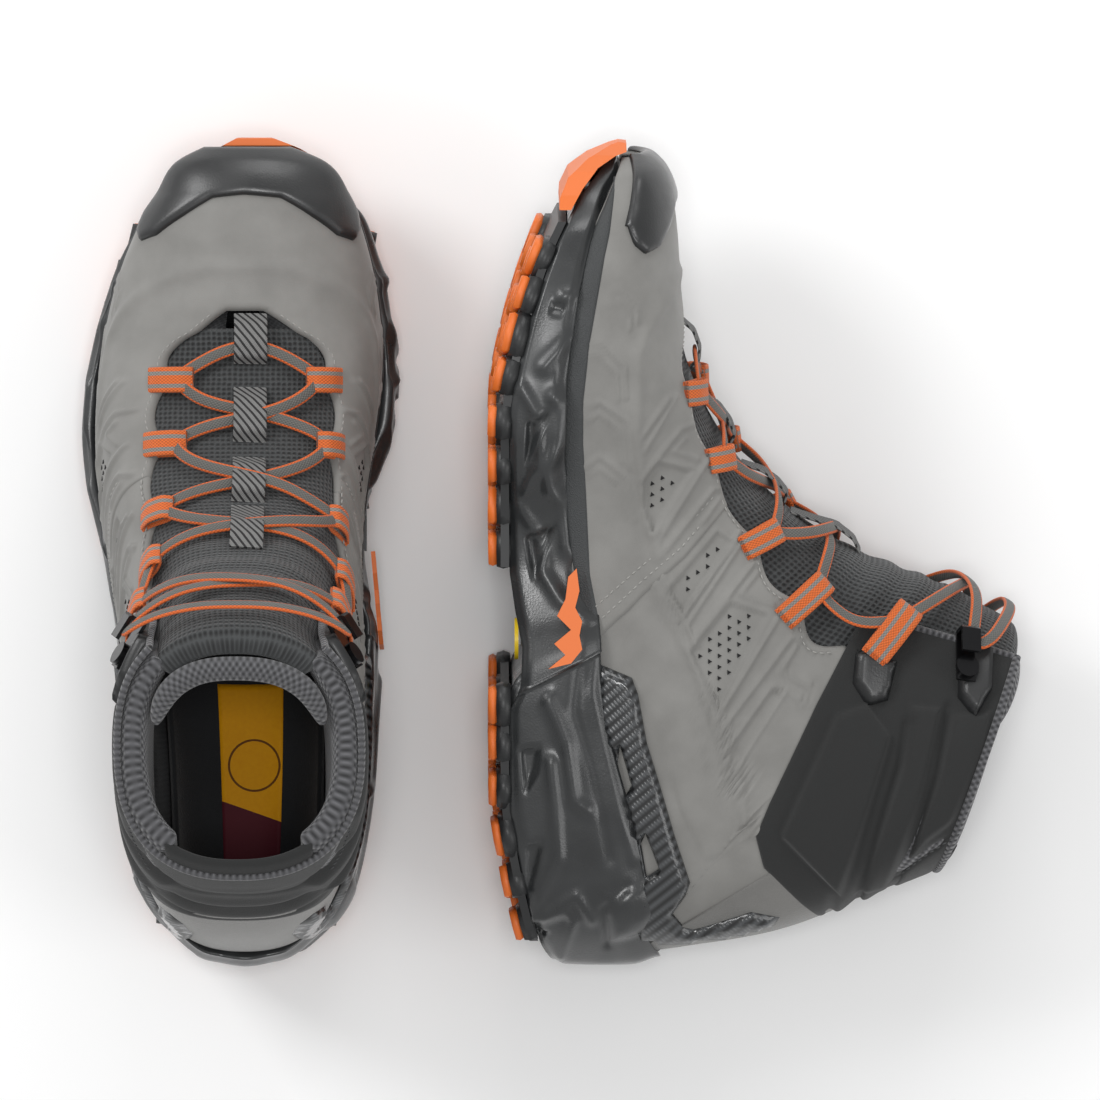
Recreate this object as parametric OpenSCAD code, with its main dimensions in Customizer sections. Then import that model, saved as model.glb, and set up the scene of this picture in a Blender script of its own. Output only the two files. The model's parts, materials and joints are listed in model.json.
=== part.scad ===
// A pair of mid-cut hiking boots. The left boot stands on its sole and the right boot
// lies on its outer side. Each boot is drawn once, in its own frame: X to the inner side
// of the foot, Y from heel to toe, Z up. Most pieces are layers of one boot surface.

/* [Boot] */
// Length of the sole from heel to toe, in mm
boot_length = 300; // [270:5:330]
// Depth of the sole lugs
lug_depth = 4.6; // [3:0.2:4.6]
// Thickness of the lace
lace_d = 3.2; // [2.4:0.2:3.2]

/* [Layout] */
// Distance of the standing boot's middle from the origin
stand_x = 111.2; // [108:0.2:140]
// Distance of the lying boot's sole from the origin
lie_x = 23.4; // [15:0.2:24.2]
// Distance of the lying boot's heel from the origin
lie_y = 149.4; // [140:0.2:160]
// Lift that puts the lying boot on the ground
lie_lift = 36.7; // [36.7:0.1:60]
// Angle that the lying boot's toe is raised by, as it rests on its outer side
lie_pitch = 7; // [6.5:0.5:9]
// Angle that the lying boot's shaft is lowered by
lie_roll = 0.3; // [-0.5:0.1:1]

/* [Ankle] */
// Open angle at the front between the cuff and the lower boot
front_gap = 9; // [9:0.5:12]
// Open angle at the back between the cuff and the lower boot
back_gap = 6; // [6:0.5:8]

/* [Hidden] */
PIECES = ["outsole", "lugs_front", "lugs_heel", "toe_bumper", "midsole", "heel_cradle",
    "arch_insert", "arch_badge", "insole_board", "footbed", "footbed_label", "toe_cap",
    "rand", "vamp", "medial_quarter", "lateral_quarter", "heel_counter", "heel_clip",
    "heel_panel", "bootie_lining", "tongue", "lace_keepers", "lace_loops", "lace", "cuff",
    "collar_pad", "tongue_top", "ankle_loops", "lace_hooks", "top_lace"];

boot_scale = boot_length / 300;
$fn = 32;

// Sections of the boot surface from the toe, round the heel, to the collar. Each row is
// the section's top or front point, its bottom or back point (Y, Z), its half widths on
// the inner and outer side, how high its widest line lies, and how square its two halves
// are (2 is round).
SECTIONS = [
    [293, 53, 293, 47, 12, 10, 0.50, 2.0, 2.0],
    [288, 60, 288, 42, 27, 22, 0.45, 2.1, 2.4],
    [280, 64, 280, 37, 34, 28, 0.40, 2.2, 2.8],
    [266, 66, 266, 31, 40, 37, 0.35, 2.3, 3.2],
    [244, 67.5, 245, 26, 45, 45, 0.32, 2.5, 3.6],
    [219, 71.5, 218, 22, 47, 50, 0.28, 2.9, 3.6],
    [195, 82, 190, 20, 44, 51, 0.26, 3.1, 3.4],
    [176, 96, 155, 20.5, 40, 49, 0.26, 3.1, 3.2],
    [162, 112, 112, 23, 40, 44, 0.30, 3.1, 3.0],
    [152, 128, 65, 26, 41, 40, 0.36, 3.0, 2.8],
    [145, 144, 21, 31, 40, 38, 0.42, 2.9, 2.6],
    [140, 157, 8, 52, 38, 37, 0.46, 2.8, 2.5],
    [135, 169, 10, 80, 38, 37, 0.48, 2.7, 2.4],
    [130, 181, 15.5, 108, 39, 38, 0.50, 2.6, 2.4],
    [126, 189, 26, 135, 41, 38.5, 0.50, 2.5, 2.4],
    [122, 193, 39, 166, 41.5, 38.5, 0.50, 2.5, 2.4]];
LAST = len(SECTIONS) - 1;
ANKLE = [59, 97];          // the ankle axis, Y and Z
FRONT_RAY = 24;            // rise of the cuff's lower edge in front of the ankle
BACK_RAY = 38;             // rise of the cuff's lower edge behind the ankle
EDGE_DROP = 1.5;           // half the gap between cuff and lower boot at the axis

// Layers, as distances from the boot surface
SHELL = [0.2, 2.0];
LINING = [-2.4, -0.9];
BOARD = [-6.0, -5.0];
FOOTBED = [-10.0, -7.2];
LABEL = [-12.9, -12.1];
COUNTER = [0.2, 1.9];
PANEL = [2.2, 3.6];
CLIP = [4.6, 6.4];
CAP = [2.4, 4.4];
RAND = [2.4, 4.0];
CUFF = [2.4, 5.6];
COLLAR = [-5.0, 2.1];
WEBBING = [2.4, 3.4];
ANKLE_WEBBING = [5.9, 6.9];
KEEPER = [2.4, 3.0];

FEATHER = 112;             // angle at which the upper turns under the foot
CUFF_FRONT = 42;           // angle of the cuff's front edges
FRONT_OPEN = 3;            // half angle of the lining's slit under the tongue
// Edge of the throat: section, angle on the inner side, angle on the outer side
THROAT_INNER = [[4.35, 5], [4.7, 20], [5.3, 30], [6.3, 37], [7.8, 48], [9.2, 52], [10.4, 56]];
THROAT_OUTER = [[4.35, 4], [4.7, 15], [5.3, 23], [6.3, 23], [7.8, 30], [9.2, 42], [10.4, 50]];
THROAT_START = 4.35;
// Section and the two edge angles of each lace loop, from the toe to the ankle
LOOPS = [[5.3, 31, 24], [6.33, 38, 24], [7.8, 49, 31], [9.1, 54, 44]];
ANKLE_LOOP = [11, 52];
HOOK = [13.1, 56];

// Plan outline of the sole: Y and half width, inner side and outer side
SOLE_INNER = [[0, 5], [3, 16], [8, 23], [16, 34], [25, 39], [34, 41], [50, 43], [66, 45],
    [83, 46], [100, 47], [116, 48], [124, 47], [133, 46], [150, 45], [166, 45], [175, 46.5],
    [183, 48], [191, 51], [200, 53], [216, 54], [233, 52], [250, 50], [258, 47], [266, 45],
    [275, 41], [283, 36], [291, 29], [296, 20], [300, 9]];
SOLE_OUTER = [[0, 3], [3, 16], [8, 23], [16, 33], [25, 37], [34, 41], [50, 43], [66, 44],
    [83, 45], [100, 44], [116, 46], [133, 51], [150, 54], [166, 57.5], [175, 59], [191, 60],
    [208, 58], [216, 58], [233, 54], [250, 48], [258, 45], [266, 40], [275, 35], [283, 28],
    [291, 19], [296, 10], [300, 2]];
// Underside of the midsole, and its top edge at the sides
MID_LOW = [[0, 26], [4, 23], [10, 19], [25, 15], [40, 12], [62, 8], [106, 8], [112, 12],
    [125, 12.6], [136, 10], [148, 8], [205, 8], [216, 9.6], [227, 12.2], [241, 15.8],
    [254, 20], [267, 25], [277, 30], [285, 34.5], [291, 40]];
MID_RIM = [[112, 40], [131, 40], [149, 34], [172, 30], [187, 28], [219, 28], [248, 32],
    [268, 37], [285, 43], [291, 47]];
CRADLE_RIM = [[0, 32], [2, 54], [5, 62], [12, 62], [21, 59], [36, 55], [54, 53], [67, 48.5],
    [84, 45], [102, 41], [111, 40]];
PLATE = 3;                 // thickness of the outsole
SEAT = 0.2;                // gap between stacked sole pieces

function blend4(p, q, r, s, f) =
    0.5 * (2 * q + (r - p) * f + (2 * p - 5 * q + 4 * r - s) * f * f
    + (3 * q - p - 3 * r + s) * f * f * f);
function section(t) =
    let (i = min(max(floor(t), 0), LAST - 1))
    blend4(SECTIONS[max(i - 1, 0)], SECTIONS[i], SECTIONS[i + 1],
        SECTIONS[min(i + 2, LAST)], t - i);
function turned(a) = a > 180 ? a - 360 : a;
// A point of the boot: section t, angle a (0 top, 90 inner side, 180 bottom), distance d
function at(t, a, d = 0) =
    let (s = section(t), b = turned(a), top = [0, s[0], s[1]], low = [0, s[2], s[3]],
        tall = norm(top - low), up = (top - low) / tall, mid = tall * s[6],
        wide = (b >= 0 ? s[4] : s[5]) + d, upper = abs(b) < 90,
        n = upper ? s[7] : s[8],
        rise = pow(abs(cos(b)), 2 / n), reach = pow(abs(sin(b)), 2 / n),
        v = upper ? mid + (tall - mid + d) * rise : mid - (mid + d) * rise)
    low + up * v + [sign(b) * wide * reach, d * max(0, 1 - t / 2), 0];

// Height of a point above the cuff's lower edge, which the gaps move at the front and back
function over_edge(p, front, back, drop) =
    let (y = p.y - ANKLE.x, z = p.z - ANKLE.y - drop)
    y > 0 ? z - y * tan(FRONT_RAY + front) : z + y * tan(BACK_RAY + back);
// Section at which the line of angle a meets that edge
function edge_section(a, front, back, drop, low = 8, high = 15, steps = 14) =
    let (mid = (low + high) / 2)
    steps == 0 ? mid
    : over_edge(at(mid, a), front, back, drop) < 0
        ? edge_section(a, front, back, drop, mid, high, steps - 1)
        : edge_section(a, front, back, drop, low, mid, steps - 1);
function lower_edge(a) = edge_section(a, -front_gap / 2, -back_gap / 2, -EDGE_DROP);
function cuff_edge(a) = edge_section(a, front_gap / 2, back_gap / 2, EDGE_DROP);
function mix(a, b, f) = a + (b - a) * f;
function span(a, b, n) = [for (i = [0 : n]) mix(a, b, i / n)];
function reversed(list) = [for (i = [len(list) - 1 : -1 : 0]) list[i]];

// A closed layer over a grid of [t, a] places, between the two distances in depth
module layer(grid, depth) {
    rows = len(grid);
    cols = len(grid[0]);
    count = rows * cols;
    faces = [
        for (i = [0 : rows - 2]) for (j = [0 : cols - 2])
            let (a = i * cols + j, b = a + 1, c = b + cols, e = a + cols, k = count)
                for (f = [[a, c, b], [a, e, c], [a + k, b + k, c + k], [a + k, c + k, e + k]]) f,
        for (i = [0 : rows - 2]) for (first = [true, false])
            let (a = i * cols + (first ? 0 : cols - 1), b = a + cols, k = count)
                for (f = [[a, b + k, b], [a, a + k, b + k]]) first ? f : reversed(f),
        for (j = [0 : cols - 2]) for (first = [true, false])
            let (a = (first ? 0 : rows - 1) * cols + j, b = a + 1, k = count)
                for (f = [[b, a + k, a], [b, b + k, a + k]]) first ? f : reversed(f)];
    polyhedron([for (d = [depth[1], depth[0]]) for (row = grid) for (p = row) at(p[0], p[1], d)],
        faces, convexity = 6);
}
// Grid with a row for each [t, first angle, last angle]
function by_rows(rows, cols) = [for (r = rows) [for (a = span(r[1], r[2], cols)) [r[0], a]]];
// Grid with a column for each [angle, first t, last t]
function by_columns(columns, rows) =
    [for (i = [0 : rows]) [for (c = columns) [mix(c[1], c[2], i / rows), c[0]]]];
function outer_side(rows) = [for (r = rows) [r[0], -r[2], -r[1]]];

// A closed solid through cross sections that have the same number of points
module loft(rings) {
    n = len(rings[0]);
    m = len(rings);
    faces = [
        for (i = [0 : m - 2]) for (j = [0 : n - 1])
            let (a = i * n + j, b = i * n + (j + 1) % n)
                for (f = [[a, b + n, b], [a, a + n, b + n]]) f,
        [for (j = [0 : n - 1]) j],
        [for (j = [n - 1 : -1 : 0]) (m - 1) * n + j]];
    polyhedron([for (r = rings) for (p = r) p], faces, convexity = 6);
}
// A round tube along a list of points
module tube(path, d) {
    sides = 8;
    last = len(path) - 1;
    loft([for (i = [0 : last])
        let (run = path[min(i + 1, last)] - path[max(i - 1, 0)], w = run / norm(run),
            u = cross(w, [0, 0.35, 0.94]), v = u / norm(u), q = cross(w, v))
            [for (j = [0 : sides - 1])
                path[i] + (v * cos(j * 360 / sides) + q * sin(j * 360 / sides)) * d / 2]]);
}
// Places children on the boot surface with Z outward
module on_boot(t, a, d) {
    p = at(t, a, d);
    v = at(t, a, d + 5) - p;
    translate(p) rotate([0, acos(v.z / norm(v)), atan2(v.y, v.x)]) children();
}
module standing() {
    translate([-stand_x, -boot_length / 2, 0]) scale(boot_scale) children();
}
module lying() {
    translate([-lie_x, -lie_y, lie_lift]) rotate([lie_pitch, lie_roll, 0])
        rotate([0, 90, 0]) mirror([1, 0, 0]) scale(boot_scale) children();
}

// Half widths of the sole at y, drawn in by inset
function inner_half(y, inset) = max(lookup(y, SOLE_INNER) - inset, 1);
function outer_half(y, inset) = max(lookup(y, SOLE_OUTER) - inset, 1);

module plate(ys, inset, low, high) {
    loft([for (y = ys) [[-outer_half(y, inset), y, low(y)], [inner_half(y, inset), y, low(y)],
        [inner_half(y, inset), y, high(y)], [-outer_half(y, inset), y, high(y)]]]);
}
module outsole() {
    color("#2f3132") {
        plate([150, 166, 180, 190, 205, 219, 232, 245, 256, 266, 274], 1.5,
            function(y) lookup(y, MID_LOW) - PLATE - SEAT, function(y) lookup(y, MID_LOW) - SEAT);
        plate([12, 16, 21, 30, 40, 54, 67, 84, 100, 106], 1.5,
            function(y) lookup(y, MID_LOW) - PLATE - SEAT, function(y) lookup(y, MID_LOW) - SEAT);
    }
}

// One lug: a bevelled block, wide across the foot and long from front to back
module lug(x, y, wide, long, point) {
    top = lookup(y, MID_LOW) - PLATE - 2 * SEAT;
    slope = atan((lookup(y + 5, MID_LOW) - lookup(y - 5, MID_LOW)) / 10);
    translate([x, y, top]) rotate([slope, 0, 0]) translate([0, 0, -lug_depth])
        linear_extrude(lug_depth) polygon([[-wide / 2, -long / 2], [0, -long / 2 + point],
            [wide / 2, -long / 2], [wide / 2, long / 2 - point], [0, long / 2],
            [-wide / 2, long / 2 - point]]);
}
module lug_rows(ys, long) {
    for (y = ys) {
        lug(inner_half(y, 8.5), y, 13, long, 2);
        lug(-outer_half(y, 8.5), y, 13, long, 2);
        lug(inner_half(y, 8.5) - 18, y - 3, 13, long - 2, 3);
        lug(-outer_half(y, 8.5) + 18, y - 3, 13, long - 2, 3);
    }
}
module lugs_front() {
    color("#f5822d") {
        lug_rows([156, 170, 184, 198, 220, 234, 248], 10);
        for (y = [163, 177, 191, 227]) lug(-4, y, 13, 8, 3);
    }
}
module lugs_heel() {
    color("#f5822d") lug_rows([34, 54, 72, 85, 98], 10);
}
module toe_bumper() {
    outline = [[278, 25.8], [282, 26], [289, 29], [295, 36], [299, 44], [300, 47], [299.6, 50],
        [297, 50], [295.8, 46], [292, 39.6], [285, 34], [278, 30]];
    color("#f5822d") intersection() {
        rotate([90, 0, 90]) translate([0, 0, -40]) linear_extrude(80) polygon(outline);
        linear_extrude(80) polygon([[-30, 277], [-27.5, 283], [-19, 291], [-10, 296], [-2, 300.2],
            [9, 300.2], [20, 296], [29, 291], [36, 283], [39, 277]]);
    }
}

// Sole walls that hold the foot: [y, floor height, inner half width, outer half width]
module cup(rows, rim, low) {
    loft([for (r = rows)
        let (y = r[0], top = rim(y), inside = min(r[1], top), xi = inner_half(y, 0.4),
            xo = outer_half(y, 0.4), base = low(y), toe = base + min(4, (top - base) * 0.35),
            lip = top - min(3, (top - base) * 0.35))
            [[-xo + 2.5, y, base], [xi - 2.5, y, base], [xi, y, toe], [xi, y, lip],
            [xi - 1, y, top], [min(r[2], xi - 1.5), y, top],
            [min(r[2], xi - 1.5) * 0.9, y, inside], [-min(r[3], xo - 1.5) * 0.9, y, inside],
            [-min(r[3], xo - 1.5), y, top], [-xo + 1, y, top], [-xo, y, lip],
            [-xo, y, toe]]]);
}
module midsole() {
    color("#3c3e3f") cup([[111.6, 20, 43.5, 47.3], [125, 19.3, 43.2, 48], [136, 18.6, 42.9, 50],
        [150, 17.8, 42.7, 51.6], [166, 17.4, 43.4, 53], [180, 17.2, 45.5, 54], [190, 17, 47, 54.4],
        [205, 17.6, 48.6, 54.4], [219, 19, 50.2, 53.4], [232, 21, 49.7, 51.4], [245, 23, 48, 48.2],
        [256, 25, 45.6, 44.6], [266, 27.6, 43.2, 40.4], [274, 31, 40.4, 36], [281, 34, 36.6, 31],
        [286, 39, 32.4, 27], [291, 44.4, 27, 19]],
        function(y) lookup(y, MID_RIM), function(y) lookup(y, MID_LOW));
}
module heel_cradle() {
    color("#3c3e3f") cup([[0, 80, 2, 2], [2, 80, 6, 6], [4.4, 80, 8, 8], [5, 49, 10, 9.5],
        [8, 43, 20, 19], [12, 37, 26, 25], [16, 32, 31, 30], [21, 28, 34, 33], [30, 26, 38, 36.4],
        [40, 25, 40.3, 39.6], [54, 23, 42.4, 41.8], [67, 22.4, 43.6, 42.6], [84, 21.4, 44.2, 43.4],
        [100, 20.4, 43.8, 45], [111.2, 20, 43.5, 47]],
        function(y) lookup(y, CRADLE_RIM), function(y) lookup(y, MID_LOW));
}
module arch_insert() {
    zigzag = [[0, 22], [5, 28], [9, 24], [14, 30], [19, 25], [25, 28], [33, 29], [36, 32], [28, 33],
        [22, 31.5], [17, 34], [12, 33], [7, 34], [2, 30]];
    color("#f5822d") translate([48.5, 114, 0]) rotate([0, 0, 5]) rotate([90, 0, 90])
        linear_extrude(1.6) polygon(zigzag);
}
module arch_badge() {
    color("#ebc81e") translate([26, 122, 9.8]) cylinder(r = 7.5, h = 1.4);
}

module insole_board() {
    color("#8a7f6c") layer(by_rows([for (t = span(0.9, 10.1, 14)) [t, 138, 222]], 5), BOARD);
}
module footbed() {
    color("#1d1e20") layer(by_rows([for (t = span(1.1, 10, 14)) [t, 138, 222]], 5), FOOTBED);
}
module footbed_label() {
    color("#be8214") layer(by_rows([for (t = span(8.4, 9.75, 4)) [t, 162, 191]], 3), LABEL);
}
module toe_cap() {
    reach = [[0, 2.15], [20, 2.3], [40, 2.9], [60, 3.1], [80, 2.9]];
    columns = [for (a = span(-80, 80, 14)) [a, 0.1, lookup(abs(a), reach)]];
    color("#3c3e3f") layer(by_columns(columns, 5), CAP);
}
module rand() {
    side = [[1.6, 86, 97], [2.3, 86, 98], [3, 86, 98], [4, 86, 98], [5, 87, 98], [6, 89, 98.5],
        [6.6, 90, 98], [7.3, 90, 97]];
    color("#4a4c4d") {
        layer(by_rows(side, 2), RAND);
        layer(by_rows(outer_side(side), 2), RAND);
    }
}
module vamp() {
    rows = concat([0.1, 0.5, 1, 1.5], span(2, THROAT_START, 5));
    color("#a3a29e") layer(by_rows([for (t = rows) [t, -FEATHER, FEATHER]], 14), SHELL);
}
// A quarter from the throat's edge down to the feather line, back to the heel panel
function quarter_grid(throat, cols, rows, side) =
    let (start = THROAT_START + 0.1, low = [[9, FEATHER], [12, 118]])
    [for (i = [0 : rows]) [for (j = [0 : cols])
        let (g = side > 0 ? j / cols : 1 - j / cols,
            finish = lower_edge(mix(lookup(10, throat), 118, g)),
            t = mix(start, finish, i / rows))
        [t, side * mix(lookup(t, throat), lookup(t, low), g)]]];
module medial_quarter() {
    color("#a3a29e") layer(quarter_grid(THROAT_INNER, 8, 12, 1), SHELL);
}
module lateral_quarter() {
    color("#a3a29e") layer(quarter_grid(THROAT_OUTER, 8, 12, -1), SHELL);
}
module heel_counter() {
    columns = [for (a = span(121, 239, 10)) [a, 10.7, lower_edge(a) - 0.2]];
    color("#b9b2a0") layer(by_columns(columns, 4), COUNTER);
}
module heel_panel() {
    start = [[118, 10.6], [135, 11.1], [155, 11.4], [180, 11.6]];
    columns = [for (a = span(119, 241, 10))
        [a, lookup(a > 180 ? 360 - a : a, start), lower_edge(a)]];
    color("#8f8e8b") layer(by_columns(columns, 4), PANEL);
}
module heel_clip() {
    side = [[8.3, 93, 102], [8.8, 92, 103], [9.3, 94, 106], [9.9, 98, 107], [10.5, 106, 115],
        [11, 117, 127], [11.6, 128, 144], [12.2, 136, 154], [12.8, 150, 164]];
    color("#26282a") {
        layer(by_rows(side, 2), CLIP);
        layer(by_rows(outer_side(side), 2), CLIP);
    }
}
module bootie_lining() {
    columns = [for (a = span(FRONT_OPEN, 360 - FRONT_OPEN, 34)) [a, 0.7, lower_edge(a) - 0.1]];
    color("#2e2f31") layer(by_columns(columns, 11), LINING);
}
module tongue() {
    grid = [for (i = [0 : 10]) [for (j = [0 : 6])
        let (finish = lower_edge(abs(mix(-40, 44, j / 6))), t = mix(THROAT_START + 0.25, finish, i / 10))
        [t, mix(-lookup(t, THROAT_OUTER) + 2.5, lookup(t, THROAT_INNER) - 2.5, j / 6)]]];
    color("#2e2f31") layer(grid, SHELL);
}
module lace_keepers() {
    spans = [[4.45, 4.75], [5.42, 5.75], [6.65, 7], [7.9, 9]];
    color("#8a8a88") for (s = spans)
        layer(by_rows([for (t = span(s[0] + 0.2, s[1] + 0.2, 2)) [t, -1.2, 4.4]], 2), KEEPER);
}
module lace_loops() {
    color("#f5822d") for (l = LOOPS) {
        layer(by_rows([for (t = [l[0] - 0.18, l[0] + 0.18]) [t, l[1] - 5, l[1] + 8]], 2), WEBBING);
        layer(by_rows([for (t = [l[0] - 0.18, l[0] + 0.18]) [t, -l[2] - 8, -l[2] + 5]], 2), WEBBING);
    }
}
// The lace's route as [t, a, d] points, cut into short steps
function laid(route, steps) = [for (i = [0 : len(route) - 2]) for (k = [0 : steps - 1])
    let (p = mix(route[i], route[i + 1], k / steps)) at(p[0], p[1], p[2])];
LACE_LOW = 5.3;            // distance of a lace strand from the boot surface
LACE_HIGH = 9;             // the same where it passes over another strand
module lace() {
    route = [[9.1, 54, LACE_LOW], [8.5, 8, LACE_LOW], [7.8, -30, LACE_LOW], [7.1, 4, LACE_LOW],
        [6.33, 38, LACE_LOW], [5.85, 6, LACE_LOW], [5.3, -24, LACE_LOW], [4.75, 2, LACE_LOW],
        [5.3, 31, LACE_LOW], [5.85, 6, LACE_HIGH], [6.33, -24, LACE_LOW], [7.1, 4, LACE_HIGH],
        [7.8, 49, LACE_LOW], [8.5, 8, LACE_HIGH], [9.1, -44, LACE_LOW]];
    color("#6a6a66") tube(laid(route, 4), lace_d);
}
module top_lace() {
    route = [[11, 50, 9], [12.1, 4, 5.6], [12.75, -44, 10.6], [13.4, -44, 10.6], [13.6, -20, 5.8],
        [13.65, 0, 5.6], [13.6, 20, 5.8], [13.4, 44, 10.6], [12.75, 44, 10.6], [12.1, 4, 9.4],
        [11, -50, 9]];
    color("#6a6a66") tube(laid(route, 4), lace_d);
}
module cuff() {
    columns = [for (a = span(CUFF_FRONT, 360 - CUFF_FRONT, 20)) [a, cuff_edge(a), 14.7]];
    color("#2d2e2d") layer(by_columns(columns, 5), CUFF);
}
module collar_pad() {
    columns = [for (a = span(CUFF_FRONT, 360 - CUFF_FRONT, 20)) [a, cuff_edge(a), 15]];
    color("#737376") layer(by_columns(columns, 5), COLLAR);
}
module tongue_top() {
    columns = [for (a = span(-38, 38, 8)) [a, cuff_edge(abs(a)), 15.1]];
    color("#2e2f31") layer(by_columns(columns, 6), [-2.5, 2]);
}
module ankle_loops() {
    t = ANKLE_LOOP[0];
    a = ANKLE_LOOP[1];
    rows = [t - 0.3, t + 0.3];
    color("#f5822d") {
        layer(by_rows([for (r = rows) [r, a - 6, a + 12]], 2), ANKLE_WEBBING);
        layer(by_rows([for (r = rows) [r, -a - 12, -a + 6]], 2), ANKLE_WEBBING);
    }
}
module lace_hook() {
    arm = [[-5, 0], [13, 0], [14, 1], [14, 6.4], [13, 7.4], [4, 7.4], [4, 6], [12.4, 6],
        [12.4, 1.3], [-5, 1.3]];
    translate([-3.5, 0, 0]) rotate([90, 0, 90]) linear_extrude(7) polygon(arm);
    translate([0, 0, 1.3]) cylinder(r = 4.2, h = 1.8);
}
module lace_hooks() {
    color("#1c1c1e") {
        on_boot(HOOK[0], HOOK[1], CUFF[1] + 1.6) lace_hook();
        on_boot(HOOK[0], -HOOK[1], CUFF[1] + 1.6) mirror([0, 1, 0]) lace_hook();
    }
}

module left_outsole() { standing() outsole(); }
module left_lugs_front() { standing() lugs_front(); }
module left_lugs_heel() { standing() lugs_heel(); }
module left_toe_bumper() { standing() toe_bumper(); }
module left_midsole() { standing() midsole(); }
module left_heel_cradle() { standing() heel_cradle(); }
module left_arch_insert() { standing() arch_insert(); }
module left_arch_badge() { standing() arch_badge(); }
module left_insole_board() { standing() insole_board(); }
module left_footbed() { standing() footbed(); }
module left_footbed_label() { standing() footbed_label(); }
module left_toe_cap() { standing() toe_cap(); }
module left_rand() { standing() rand(); }
module left_vamp() { standing() vamp(); }
module left_medial_quarter() { standing() medial_quarter(); }
module left_lateral_quarter() { standing() lateral_quarter(); }
module left_heel_counter() { standing() heel_counter(); }
module left_heel_clip() { standing() heel_clip(); }
module left_heel_panel() { standing() heel_panel(); }
module left_bootie_lining() { standing() bootie_lining(); }
module left_tongue() { standing() tongue(); }
module left_lace_keepers() { standing() lace_keepers(); }
module left_lace_loops() { standing() lace_loops(); }
module left_lace() { standing() lace(); }
module left_cuff() { standing() cuff(); }
module left_collar_pad() { standing() collar_pad(); }
module left_tongue_top() { standing() tongue_top(); }
module left_ankle_loops() { standing() ankle_loops(); }
module left_lace_hooks() { standing() lace_hooks(); }
module left_top_lace() { standing() top_lace(); }
module right_outsole() { lying() outsole(); }
module right_lugs_front() { lying() lugs_front(); }
module right_lugs_heel() { lying() lugs_heel(); }
module right_toe_bumper() { lying() toe_bumper(); }
module right_midsole() { lying() midsole(); }
module right_heel_cradle() { lying() heel_cradle(); }
module right_arch_insert() { lying() arch_insert(); }
module right_arch_badge() { lying() arch_badge(); }
module right_insole_board() { lying() insole_board(); }
module right_footbed() { lying() footbed(); }
module right_footbed_label() { lying() footbed_label(); }
module right_toe_cap() { lying() toe_cap(); }
module right_rand() { lying() rand(); }
module right_vamp() { lying() vamp(); }
module right_medial_quarter() { lying() medial_quarter(); }
module right_lateral_quarter() { lying() lateral_quarter(); }
module right_heel_counter() { lying() heel_counter(); }
module right_heel_clip() { lying() heel_clip(); }
module right_heel_panel() { lying() heel_panel(); }
module right_bootie_lining() { lying() bootie_lining(); }
module right_tongue() { lying() tongue(); }
module right_lace_keepers() { lying() lace_keepers(); }
module right_lace_loops() { lying() lace_loops(); }
module right_lace() { lying() lace(); }
module right_cuff() { lying() cuff(); }
module right_collar_pad() { lying() collar_pad(); }
module right_tongue_top() { lying() tongue_top(); }
module right_ankle_loops() { lying() ankle_loops(); }
module right_lace_hooks() { lying() lace_hooks(); }
module right_top_lace() { lying() top_lace(); }

left_outsole();
left_lugs_front();
left_lugs_heel();
left_toe_bumper();
left_midsole();
left_heel_cradle();
left_arch_insert();
left_arch_badge();
left_insole_board();
left_footbed();
left_footbed_label();
left_toe_cap();
left_rand();
left_vamp();
left_medial_quarter();
left_lateral_quarter();
left_heel_counter();
left_heel_clip();
left_heel_panel();
left_bootie_lining();
left_tongue();
left_lace_keepers();
left_lace_loops();
left_lace();
left_cuff();
left_collar_pad();
left_tongue_top();
left_ankle_loops();
left_lace_hooks();
left_top_lace();
right_outsole();
right_lugs_front();
right_lugs_heel();
right_toe_bumper();
right_midsole();
right_heel_cradle();
right_arch_insert();
right_arch_badge();
right_insole_board();
right_footbed();
right_footbed_label();
right_toe_cap();
right_rand();
right_vamp();
right_medial_quarter();
right_lateral_quarter();
right_heel_counter();
right_heel_clip();
right_heel_panel();
right_bootie_lining();
right_tongue();
right_lace_keepers();
right_lace_loops();
right_lace();
right_cuff();
right_collar_pad();
right_tongue_top();
right_ankle_loops();
right_lace_hooks();
right_top_lace();
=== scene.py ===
import json
import math

import bpy
import numpy as np
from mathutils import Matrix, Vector, geometry, kdtree


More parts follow.
